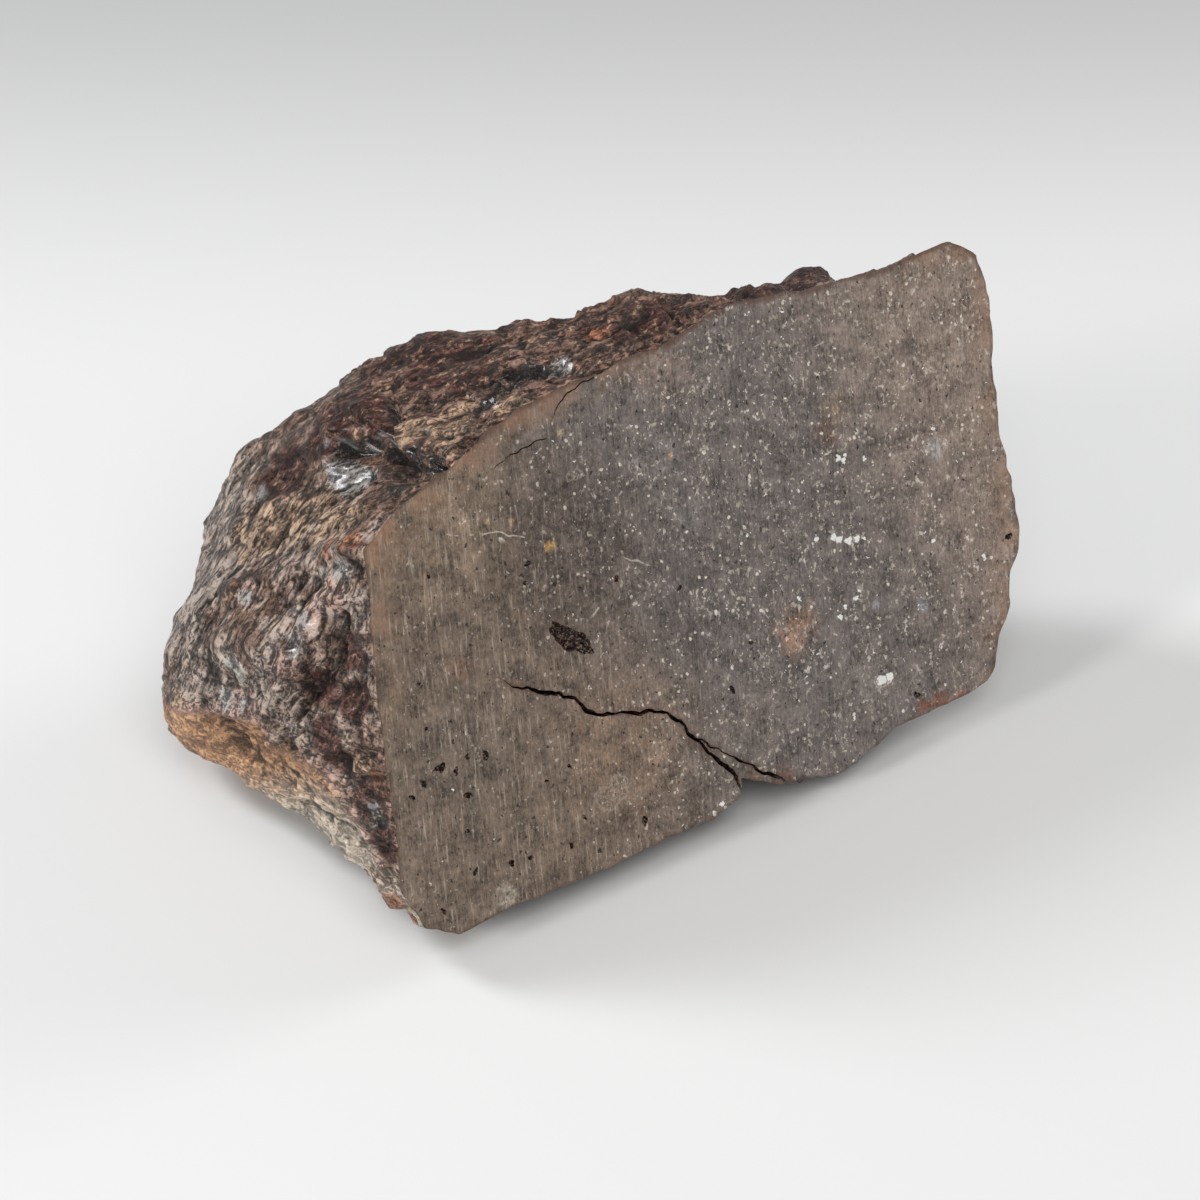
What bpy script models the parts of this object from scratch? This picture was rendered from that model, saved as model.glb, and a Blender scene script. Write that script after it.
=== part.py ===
# End cut of a stony meteorite: one stone with one flat sawn face and a broken, weathered
# crust all round its other sides. It rests on a small flat spot under its centre of mass.
# Metres, +Z up, origin at the middle of the flat spot. Lengths named below are millimetres.
import math

import bmesh
import bpy
import numpy as np
from mathutils import Matrix, Vector

MM = 0.001

# How the stone sits: the sawn face is turned to the right and leans back, so that it
# looks up and forward, and its middle is this far from the flat spot's middle.
FACE_TURN = math.radians(33.0)
FACE_LEAN = math.radians(30.0)
FACE_MIDDLE = (8.6, -4.6, 16.2)

# Mesh density: steps around the rim, and rows from the rim to the far side.
RIM_STEPS = 116
BACK_ROWS = 33
ROW_GRADING = 1.12      # above 1 packs the rows closer together near the rim

# Outline of the sawn face, anticlockwise seen from in front: (right, up) from its middle.
FACE_OUTLINE = [
    (28.5, 5.8), (30.0, 11.6), (29.8, 14.9), (27.9, 16.6), (22.1, 16.5), (14.8, 17.1),
    (9.1, 18.2), (4.2, 17.2), (-3.5, 17.0), (-8.3, 16.6), (-11.6, 15.8), (-15.6, 14.3),
    (-19.4, 13.3), (-22.7, 11.3), (-23.9, 6.3), (-25.2, 0.1), (-26.3, -6.5),
    (-27.3, -11.8), (-26.5, -14.7), (-24.3, -16.2), (-20.0, -16.0), (-11.6, -16.2),
    (-3.2, -16.1), (-0.9, -15.6), (-0.3, -14.9), (-0.2, -14.3), (2.5, -15.7),
    (4.4, -16.2), (6.6, -16.8), (9.2, -16.9), (11.8, -16.1), (13.1, -15.6),
    (16.1, -15.4), (17.9, -15.6), (20.0, -15.6), (21.4, -15.1), (22.5, -14.2),
    (23.3, -12.5), (24.9, -10.4), (25.8, -8.5), (26.6, -7.3), (27.3, -5.4),
    (27.6, -2.6), (28.0, 0.5),
]

# The big broken sides. Each is a plane: the direction around the face that it looks
# towards, how far it turns to the back (90 is straight back), and a point on it given
# as (right, up, depth behind the sawn face).
BROKEN_SIDES = [
    ("top left", 131, -6, (-20.3, 13.7, 14.0)),
    ("top", 99, -15, (-6.0, 19.0, 14.0)),
    ("top right of middle", 84, -2, (8.0, 18.9, 10.0)),
    ("top right", 66, 25, (20.0, 17.6, 0.0)),
    ("right shoulder", 20, 30, (30.0, 13.0, 0.0)),
    ("right", 2, 18, (28.8, 3.0, 0.0)),
    ("lower right", -35, 24, (25.4, -10.0, 0.0)),
    ("underside right", -60, 22, (14.0, -16.4, 0.0)),
    ("underside front", -88, 19, (0.0, -16.4, 0.0)),
    ("underside left", -112, 19, (-21.0, -16.4, 0.0)),
    ("lower left", -140, 12, (-28.9, -13.8, 2.0)),
    ("left hollow", -158, -10, (-29.4, -7.4, 8.0)),
    ("left facet by the rim", 177, -27, (-26.2, 0.0, 2.2)),
    ("left", 174, -10, (-29.6, 1.0, 13.0)),
    ("upper left, back", 150, 26, (-26.1, 7.0, 26.0)),
    ("far left", 190, 38, (-32.6, -1.0, 23.6)),
    ("lower left, back", 225, 38, (-31.6, -9.0, 19.0)),
    ("top left, back", 112, 38, (-15.0, 17.6, 26.6)),
    ("top, back", 88, 44, (0.0, 18.5, 24.0)),
    ("top right, back", 60, 50, (13.0, 16.0, 15.0)),
    ("back", 5, 64, (0.0, 0.0, 23.5)),
    ("back, left", 195, 68, (-18.0, 2.0, 31.0)),
    ("underside, back right", -60, 50, (10.0, -10.0, 17.0)),
    ("foot, left", -99, 31.3, (-12.6, -9.2, 16.4)),
    ("foot, right", -70, 29.5, (2.5, -9.2, 16.4)),
    ("foot, back", -90, 50, (-5.0, -6.0, 22.8)),
]
EDGE_SHARPNESS = 36     # higher makes the edges between the broken sides sharper
RIM_BLEND = math.radians(14.0)

# Lumps (height above 0) and hollows (below 0): middle, radius, height.
LUMPS = [
    ("crust bump above the top rim", (17.9, 16.2, 5.2), 2.4, 3.0),
    ("tooth by the left rim", (-25.2, 8.6, 3.6), 1.9, 1.1),
    ("left corner of the rim", (-24.5, 10.4, 2.2), 2.4, 0.8),
    ("low hollow, far end", (-30.4, -2.2, 17.5), 3.8, -1.5),
    ("low hollow, middle", (-28.8, -5.2, 11.4), 4.6, -2.2),
    ("low hollow, near end", (-27.8, -8.8, 6.4), 3.4, -1.3),
    ("chip at the hollow's lip", (-27.9, -10.0, 7.0), 1.7, 1.2),
    ("dark facet by the rim", (-26.2, 2.6, 3.2), 3.2, -0.9),
    ("glossy scar", (-18.6, 14.8, 8.6), 3.2, -1.1),
    ("scar under the top slab", (-17.2, 14.8, 3.6), 2.0, -1.0),
    ("top slab", (-6.5, 18.8, 18.6), 3.6, 1.2),
    ("dip in the top edge", (-13.6, 18.6, 22.4), 4.2, -1.5),
    ("far left corner", (-30.4, 1.6, 22.6), 4.4, 1.6),
    ("far left corner, low", (-31.4, -2.6, 20.0), 3.2, 0.7),
    ("broad scar on the back", (6.0, 6.0, 19.5), 8.0, -1.6),
    ("scar on the back, left", (-16.0, 6.0, 30.0), 6.5, -1.3),
    ("knob on the back", (-5.0, 8.0, 27.0), 4.0, 1.0),
    ("scar on the right end", (25.0, 4.0, 7.0), 5.0, -0.9),
    ("scar low on the right", (20.0, -9.0, 9.0), 5.0, -0.9),
]

# Sharp crests (height above 0) and crevices (below 0) along lines: half width, height, line.
CRESTS = [
    ("crest over the low hollow", 2.0, 1.2,
     [(-32.0, 1.3, 20.4), (-30.7, 1.1, 17.5), (-30.0, 0.6, 15.1), (-29.2, 0.4, 11.3),
      (-28.6, -1.2, 7.6), (-28.2, -2.6, 5.2), (-27.7, -4.7, 3.9), (-27.5, -7.4, 2.7),
      (-27.6, -10.2, 1.9), (-27.3, -12.6, 1.9)]),
    ("lower edge of the low hollow", 1.8, 0.5,
     [(-32.2, -2.2, 22.5), (-31.6, -3.6, 18.5), (-30.0, -6.0, 15.0), (-28.4, -8.4, 11.0),
      (-27.4, -10.8, 7.5), (-27.2, -13.2, 3.5)]),
    ("crest from the left corner", 1.6, 1.0,
     [(-21.8, 12.0, 0.6), (-22.8, 11.2, 3.0), (-23.0, 10.9, 6.0), (-25.2, 9.6, 11.0),
      (-26.6, 8.8, 15.0)]),
    ("crest behind the dark facet", 1.6, 0.9,
     [(-25.6, 8.0, 5.6), (-26.8, 5.2, 6.4), (-28.0, 2.4, 7.6), (-28.4, -0.6, 8.4)]),
    ("deep crevice beside that crest", 1.1, -1.7,
     [(-24.9, 7.0, 2.8), (-26.0, 4.8, 3.9), (-27.2, 2.6, 5.8), (-27.9, 1.0, 7.0)]),
    ("crevice down the top", 1.2, -1.2,
     [(-11.0, 17.9, 13.3), (-12.6, 17.3, 11.9), (-13.6, 16.6, 9.8), (-15.6, 16.1, 9.3)]),
    ("crevice under the top slab", 1.5, -1.7,
     [(-17.2, 16.1, 12.4), (-15.8, 16.1, 9.8), (-16.1, 15.6, 7.0), (-16.5, 15.1, 4.8),
      (-16.0, 14.8, 2.4), (-15.3, 14.6, 0.9)]),
    ("crest across the back", 3.0, 0.6,
     [(-27.0, 3.0, 27.0), (-20.0, 11.0, 27.5), (-9.0, 15.0, 26.0), (4.0, 15.5, 21.5)]),
    ("crest down the back", 3.0, 1.0,
     [(2.0, 14.0, 22.0), (-2.0, 6.0, 25.5), (-8.0, -1.0, 26.5), (-12.0, -6.0, 25.0)]),
    ("crest down the right end", 2.4, 0.8,
     [(25.5, 14.0, 4.0), (24.0, 4.0, 8.0), (22.0, -4.0, 9.5), (19.0, -12.0, 8.0)]),
]

# Broken steps: height, how far the raised side reaches, the side that is raised, line.
LEDGES = [
    ("slab along the top rim", 0.9, 6.0, (0.0, 0.0, 1.0),
     [(-12.9, 16.9, 10.7), (-10.5, 16.5, 9.0), (-8.1, 16.6, 7.4), (-4.7, 17.2, 5.6),
      (-1.4, 17.6, 5.2), (3.0, 18.0, 4.4)]),
    ("second layer of the slab", 0.7, 5.0, (0.0, 0.0, 1.0),
     [(-6.0, 18.4, 13.0), (0.0, 18.9, 10.5), (6.0, 19.0, 8.5), (12.0, 18.4, 6.5)]),
    ("block beside the glossy scar", 0.8, 5.0, (1.0, 0.0, 0.0),
     [(-14.7, 16.6, 9.5), (-15.8, 15.6, 7.0), (-15.8, 15.0, 4.5), (-14.6, 14.9, 1.5)]),
    ("layer round the far left", 0.6, 6.0, (0.0, 0.0, 1.0),
     [(-22.0, 13.0, 19.0), (-26.0, 8.5, 18.0), (-29.0, 3.0, 17.5)]),
    ("layer across the back", 0.9, 7.0, (-1.0, 0.0, 0.0),
     [(8.0, 14.0, 18.0), (7.0, 6.0, 20.5), (4.0, -2.0, 22.0), (2.0, -9.0, 20.0)]),
]
LEDGE_EDGE = 1.0        # how wide a ledge's broken face is

# Rough natural break: shallow scoops with sharp crests between them, and finer noise.
# Size, height and seed of each layer.
SCOOPS = [(8.0, 1.3, 5), (3.4, 0.65, 21)]
LUMP_NOISE = [(6.0, 0.55, 11), (2.8, 0.30, 12)]

# The crack across the sawn face and its branch, both running out at the lower rim: depth, line.
CRACK_HALF_WIDTH = 0.26
CRACKS = {
    "crack_cutter": (1.3, [
        (-16.0, -0.6), (-14.9, -1.5), (-13.3, -2.5), (-10.8, -4.0), (-10.3, -5.1),
        (-9.4, -5.7), (-6.9, -6.6), (-5.9, -6.8), (-4.3, -7.6), (-3.6, -8.6),
        (-2.8, -10.4), (-1.6, -12.3), (-0.5, -13.8), (-0.3, -16.4)]),
    "crack_branch_cutter": (0.9, [
        (-3.3, -9.8), (-1.1, -11.7), (0.0, -12.9), (2.1, -14.8), (4.6, -17.0)]),
}
SLIVER = [(0.3, -14.7), (2.2, -15.6), (2.9, -17.6), (0.5, -17.6)]       # chipped from the rim
SLIVER_DEPTH = 0.9

# Open hollow left of the middle, and the larger pits: (right, up), radii along and across.
VUG_MIDDLE, VUG_RADII, VUG_TURN = (-9.7, 0.0), (1.9, 0.75, 1.3), math.radians(-49.0)
PITS = [((-22.0, -4.7), 0.42), ((-20.6, -7.3), 0.34), ((-18.5, -5.2), 0.30),
        ((-8.4, -14.2), 0.32), ((1.0, -7.9), 0.30), ((26.4, -5.6), 0.32)]

# Colours, linear
CRUST_COLOUR, CRUST_ROUGHNESS = (0.075, 0.055, 0.046, 1.0), 0.55
FACE_COLOUR, FACE_ROUGHNESS = (0.165, 0.145, 0.130, 1.0), 0.42

# Directions along the sawn face (right and up) and into the stone, and its place in space
FACE_RIGHT = np.array([math.cos(FACE_TURN), math.sin(FACE_TURN), 0.0])
FACE_NORMAL = np.array([math.sin(FACE_TURN) * math.cos(FACE_LEAN),
                        -math.cos(FACE_TURN) * math.cos(FACE_LEAN), math.sin(FACE_LEAN)])
FACE_UP = np.cross(FACE_NORMAL, FACE_RIGHT)


def clear_scene():
    for thing in list(bpy.data.objects):
        bpy.data.objects.remove(thing, do_unlink=True)


def to_space(points):
    """Turn (right, up, depth) in millimetres into metres in space."""
    points = np.asarray(points, dtype=float)
    spot = (np.array(FACE_MIDDLE) + points[..., 0:1] * FACE_RIGHT
            + points[..., 1:2] * FACE_UP - points[..., 2:3] * FACE_NORMAL)
    return spot * MM


def smooth_step(value):
    value = np.clip(value, 0.0, 1.0)
    return value * value * (3.0 - 2.0 * value)


def lattice_noise(points, size, seed):
    """Smooth noise from -1 to 1: random values on a lattice, blended between its corners."""
    lattice = np.random.default_rng(seed).uniform(-1.0, 1.0, (32, 32, 32))
    cell = np.asarray(points) / size
    corner = np.floor(cell).astype(int)
    blend = smooth_step(cell - corner)
    total = 0.0
    for step in np.ndindex(2, 2, 2):
        weight = np.prod(np.where(step, blend, 1.0 - blend), axis=-1)
        i, j, k = np.moveaxis((corner + step) % 32, -1, 0)
        total = total + weight * lattice[i, j, k]
    return total


def scoops(points, size, seed):
    """Scooped hollows: squared distance to the nearest of a jittered lattice of middles.

    It is 0 in a hollow's middle and near 1 on the sharp crest between two hollows."""
    jitter = np.random.default_rng(seed).uniform(0.0, 1.0, (32, 32, 32, 3))
    cell = np.asarray(points) / size
    corner = np.floor(cell).astype(int)
    nearest = np.full(cell.shape[:-1], np.inf)
    for step in np.ndindex(3, 3, 3):
        neighbour = corner + np.array(step) - 1
        i, j, k = np.moveaxis(neighbour % 32, -1, 0)
        gap = ((neighbour + jitter[i, j, k] - cell) ** 2).sum(axis=-1)
        nearest = np.minimum(nearest, gap)
    return np.minimum(nearest, 1.0)


def nearest_on_line(points, line):
    """Nearest point of a line of straight runs to each point, and the distance to it."""
    best = np.full(points.shape[:-1], np.inf)
    spot = np.zeros(points.shape)
    for start, end in zip(np.array(line[:-1]), np.array(line[1:])):
        run = end - start
        along = np.clip((points - start) @ run / (run @ run), 0.0, 1.0)
        foot = start + along[..., None] * run
        gap = np.linalg.norm(points - foot, axis=-1)
        closer = gap < best
        best = np.where(closer, gap, best)
        spot = np.where(closer[..., None], foot, spot)
    return spot, best


def rim_points(steps):
    """Points at even distances along the outline of the sawn face."""
    outline = np.array(FACE_OUTLINE + FACE_OUTLINE[:1])
    lengths = np.linalg.norm(np.diff(outline, axis=0), axis=1)
    travelled = np.concatenate([[0.0], np.cumsum(lengths)])
    stations = np.linspace(0.0, travelled[-1], steps, endpoint=False)
    return np.stack([np.interp(stations, travelled, outline[:, axis]) for axis in (0, 1)], axis=-1)


def broken_body(directions):
    """Distance from the face's middle to the meeting of the broken sides, edges rounded.

    One plane is reached at distance / cosine; a high power mean joins the planes smoothly."""
    total = 0.0
    for _, around, backward, point in BROKEN_SIDES:
        turn, back = math.radians(around), math.radians(backward)
        normal = np.array([math.cos(back) * math.cos(turn), math.cos(back) * math.sin(turn),
                           math.sin(back)])
        total = total + np.maximum(0.0, directions @ normal / (normal @ np.array(point))) ** EDGE_SHARPNESS
    return total ** (-1.0 / EDGE_SHARPNESS)


def relief(points):
    """Height of the lumps, crests, ledges, scoops and noise over the broken sides."""
    height = np.zeros(points.shape[:-1])
    for _, middle, radius, rise in LUMPS:
        height += rise * np.exp(-((points - np.array(middle)) ** 2).sum(axis=-1) / radius ** 2)
    for _, half_width, rise, line in CRESTS:
        gap = nearest_on_line(points, line)[1]
        height += rise * np.maximum(0.0, 1.0 - gap / half_width)
    for _, rise, reach, raised_side, line in LEDGES:
        spot, gap = nearest_on_line(points, line)
        side = (points - spot) @ np.array(raised_side)
        height += rise * smooth_step(side / LEDGE_EDGE + 0.5) * np.exp(-(gap / reach) ** 2)
    for size, rise, seed in SCOOPS:
        height += rise * (scoops(points, size, seed) - 0.35)
    for size, rise, seed in LUMP_NOISE:
        height += rise * lattice_noise(points, size, seed)
    return height


def stone_surface():
    """Rows of points from the rim (row 0) to just before the far side, and the far point."""
    rim = rim_points(RIM_STEPS)
    around = np.arctan2(rim[:, 1], rim[:, 0])[None, :]
    rows = np.linspace(0.0, 1.0, BACK_ROWS + 1) ** ROW_GRADING
    backward = (rows * math.pi / 2.0)[:, None]
    directions = np.stack([np.cos(backward) * np.cos(around), np.cos(backward) * np.sin(around),
                           np.sin(backward) * np.ones_like(around)], axis=-1)
    reach = broken_body(directions)
    reach = reach + relief(directions * reach[..., None])
    rim_gap = np.linalg.norm(rim, axis=-1) - reach[0]
    reach = reach + rim_gap * np.exp(-(backward / RIM_BLEND) ** 2)
    points = directions * reach[..., None]
    return points[:-1], points[-1].mean(axis=0)


def new_object(name, bm):
    mesh = bpy.data.meshes.new(name)
    bm.to_mesh(mesh)
    bm.free()
    thing = bpy.data.objects.new(name, mesh)
    bpy.context.collection.objects.link(thing)
    return thing


def new_material(name, colour, roughness):
    material = bpy.data.materials.new(name)
    material.use_nodes = True
    shader = material.node_tree.nodes["Principled BSDF"]
    shader.inputs["Base Color"].default_value = colour
    shader.inputs["Roughness"].default_value = roughness
    shader.inputs["Metallic"].default_value = 0.0
    return material


def make_stone():
    """Quads between the rows, a fan at the far point and one flat face over the rim."""
    rows, far_point = stone_surface()
    bm = bmesh.new()
    grid = [[bm.verts.new(spot) for spot in row] for row in to_space(rows)]
    pole = bm.verts.new(to_space(far_point))
    bm.faces.new(grid[0]).material_index = 1
    for lower, upper in zip(grid[:-1], grid[1:]):
        for i in range(RIM_STEPS):
            j = (i + 1) % RIM_STEPS
            bm.faces.new((lower[j], lower[i], upper[i], upper[j]))
    for i in range(RIM_STEPS):
        bm.faces.new((grid[-1][(i + 1) % RIM_STEPS], grid[-1][i], pole))
    stone = new_object("meteorite_end_cut", bm)
    stone.data.materials.append(new_material("crust", CRUST_COLOUR, CRUST_ROUGHNESS))
    stone.data.materials.append(new_material("sawn_face", FACE_COLOUR, FACE_ROUGHNESS))
    stone.data.shade_smooth()
    stone.data.set_sharp_from_angle(angle=math.radians(40.0))
    return stone


def cut_from(stone, cutter):
    """Take the cutter's shape out of the stone."""
    cutter.hide_render = True
    cutter.display_type = "WIRE"
    cut = stone.modifiers.new(cutter.name, "BOOLEAN")
    cut.operation = "DIFFERENCE"
    cut.solver = "EXACT"
    cut.object = cutter


def crack_cutter(name, depth, line):
    """A wedge swept along the crack: wide above the face, narrowing to a line below it.

    It stands as far above the face as it goes below, where it is twice as wide as the crack."""
    line = np.array(line)
    ahead = np.gradient(line, axis=0)
    ahead = ahead / np.linalg.norm(ahead, axis=1)[:, None]
    across = np.stack([-ahead[:, 1], ahead[:, 0]], axis=-1)
    bm = bmesh.new()
    sections = []
    for spot, side in zip(line, across):
        offset = 2.0 * CRACK_HALF_WIDTH * side
        corners = [(*(spot - offset), -depth), (*(spot + offset), -depth), (*spot, depth)]
        sections.append([bm.verts.new(corner) for corner in to_space(corners)])
    for first, second in zip(sections[:-1], sections[1:]):
        for i in range(3):
            j = (i + 1) % 3
            bm.faces.new((first[i], first[j], second[j], second[i]))
    bm.faces.new(sections[0])
    bm.faces.new(sections[-1])
    bmesh.ops.recalc_face_normals(bm, faces=bm.faces)
    return new_object(name, bm)


def sliver_cutter():
    """The chip between the crack's branches: a block sunk a little into the face."""
    bm = bmesh.new()
    top = [bm.verts.new(spot) for spot in to_space([(x, y, -1.0) for x, y in SLIVER])]
    face = bm.faces.new(top)
    pushed = bmesh.ops.extrude_face_region(bm, geom=[face])["geom"]
    into_stone = Vector(-FACE_NORMAL * (1.0 + SLIVER_DEPTH) * MM)
    bmesh.ops.translate(bm, vec=into_stone, verts=[v for v in pushed if isinstance(v, bmesh.types.BMVert)])
    bmesh.ops.recalc_face_normals(bm, faces=bm.faces)
    return new_object("sliver_cutter", bm)


def hollow_cutter(name, middles, radii, turn, detail):
    """Rounded hollows sunk into the face, each a ball squashed to its three radii."""
    frame = Matrix((FACE_RIGHT, FACE_UP, FACE_NORMAL)).transposed().to_4x4()
    bm = bmesh.new()
    for middle, size in zip(middles, radii):
        place = Matrix.Translation(Vector(to_space((*middle, 0.0)))) @ frame
        place = place @ Matrix.Rotation(turn, 4, "Z") @ Matrix.Diagonal((*(r * MM for r in size), 1.0))
        bmesh.ops.create_icosphere(bm, subdivisions=detail, radius=1.0, matrix=place)
    return new_object(name, bm)


def floor_cutter(half_width=0.06, depth=0.02):
    """A block up to the floor: what it takes away leaves the flat spot to rest on."""
    bm = bmesh.new()
    place = Matrix.Translation((0.0, 0.0, -depth / 2.0)) @ Matrix.Diagonal(
        (2.0 * half_width, 2.0 * half_width, depth, 1.0))
    bmesh.ops.create_cube(bm, size=1.0, matrix=place)
    return new_object("floor_cutter", bm)


def main():
    clear_scene()
    stone = make_stone()
    cut_from(stone, floor_cutter())
    for name, (depth, line) in CRACKS.items():
        cut_from(stone, crack_cutter(name, depth, line))
    cut_from(stone, sliver_cutter())
    cut_from(stone, hollow_cutter("vug_cutter", [VUG_MIDDLE], [VUG_RADII], VUG_TURN, 2))
    pit_radii = [(1.3 * r, 0.8 * r, 1.2 * r) for _, r in PITS]
    cut_from(stone, hollow_cutter("pits_cutter", [spot for spot, _ in PITS], pit_radii, 0.6, 1))


main()
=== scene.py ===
import math

import bmesh
import bpy
import numpy as np
from mathutils import Matrix, Vector
from mathutils.geometry import delaunay_2d_cdt


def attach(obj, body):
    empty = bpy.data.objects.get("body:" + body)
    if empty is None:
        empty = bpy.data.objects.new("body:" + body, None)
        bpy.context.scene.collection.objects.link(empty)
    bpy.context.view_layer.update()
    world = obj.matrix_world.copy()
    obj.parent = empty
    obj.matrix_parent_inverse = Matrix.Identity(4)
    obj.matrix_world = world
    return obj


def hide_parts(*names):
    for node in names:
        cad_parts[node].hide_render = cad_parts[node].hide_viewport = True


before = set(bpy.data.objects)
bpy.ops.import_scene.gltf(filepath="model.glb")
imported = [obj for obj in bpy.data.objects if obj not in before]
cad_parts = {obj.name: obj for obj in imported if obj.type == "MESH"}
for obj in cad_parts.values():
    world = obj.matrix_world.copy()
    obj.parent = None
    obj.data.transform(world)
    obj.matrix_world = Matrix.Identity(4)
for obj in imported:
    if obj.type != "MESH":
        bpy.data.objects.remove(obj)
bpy.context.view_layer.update()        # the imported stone, in metres, resting on z = 0

mm = 0.001               # lengths below are millimetres unless a note says otherwise

# How the stone sits: where the middle of its sawn face is, and how the face is turned and leans.
pose = dict(faceMiddle=(8.6, -4.6, 16.2), turn=math.radians(33.0), lean=math.radians(30.0))
faceRight = np.array([math.cos(pose["turn"]), math.sin(pose["turn"]), 0.0])
faceNormal = np.array([math.sin(pose["turn"]) * math.cos(pose["lean"]),
                       -math.cos(pose["turn"]) * math.cos(pose["lean"]), math.sin(pose["lean"])])
faceUp = np.cross(faceNormal, faceRight)
faceMiddle = np.array(pose["faceMiddle"])


def toSpace(points):
    # (right, up, depth) beside the sawn face, in millimetres, to metres in space
    points = np.asarray(points, dtype=float)
    spot = (faceMiddle + points[..., 0:1] * faceRight + points[..., 1:2] * faceUp
            - points[..., 2:3] * faceNormal)
    return spot * mm


def toFace(spots):
    # metres in space to (right, up, depth) beside the sawn face, in millimetres
    away = np.asarray(spots, dtype=float) / mm - faceMiddle
    return np.stack([away @ faceRight, away @ faceUp, -(away @ faceNormal)], axis=-1)


# Noise on whole arrays of points

latticeSide = 32         # cells until the random lattice repeats


def smoothStep(value):
    value = np.clip(value, 0.0, 1.0)
    return value * value * (3.0 - 2.0 * value)


def latticeNoise(points, size, seed):
    # random values from -1 to 1 on a lattice, blended smoothly between its corners
    lattice = np.random.default_rng(seed).uniform(-1.0, 1.0, (latticeSide,) * 3)
    cell = np.asarray(points) / size
    corner = np.floor(cell).astype(int)
    blend = smoothStep(cell - corner)
    total = 0.0
    for step in np.ndindex(2, 2, 2):
        weight = np.prod(np.where(step, blend, 1.0 - blend), axis=-1)
        i, j, k = np.moveaxis((corner + step) % latticeSide, -1, 0)
        total = total + weight * lattice[i, j, k]
    return total


def layeredNoise(points, layers):
    # each layer is the size of its noise, how strong it is, and its seed
    return sum(amount * latticeNoise(points, size, seed) for size, amount, seed in layers)


def noiseVector(points, size, seed, axes=3):
    # a noise of its own for each axis
    return np.stack([latticeNoise(points, size, seed + axis) for axis in range(axes)], axis=-1)


def scoops(points, size, seed):
    # squared distance to the nearest of a jittered lattice of middles, at most 1:
    # hollows that are 0 in the middle, with sharp crests between them
    jitter = np.random.default_rng(seed).uniform(0.0, 1.0, (latticeSide,) * 3 + (3,))
    cell = np.asarray(points) / size
    corner = np.floor(cell).astype(int)
    nearest = np.full(cell.shape[:-1], np.inf)
    for step in np.ndindex(3, 3, 3):
        neighbour = corner + np.array(step) - 1
        i, j, k = np.moveaxis(neighbour % latticeSide, -1, 0)
        gap = ((neighbour + jitter[i, j, k] - cell) ** 2).sum(axis=-1)
        nearest = np.minimum(nearest, gap)
    return np.minimum(nearest, 1.0)


def nearestOnLine(points, line):
    # nearest point of a line of straight runs, and the distance to it
    best = np.full(points.shape[:-1], np.inf)
    spot = np.zeros(points.shape)
    for start, end in zip(np.array(line[:-1], dtype=float), np.array(line[1:], dtype=float)):
        run = end - start
        along = np.clip((points - start) @ run / (run @ run), 0.0, 1.0)
        foot = start + along[..., None] * run
        gap = np.linalg.norm(points - foot, axis=-1)
        closer = gap < best
        best = np.where(closer, gap, best)
        spot = np.where(closer[..., None], foot, spot)
    return spot, best


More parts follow.
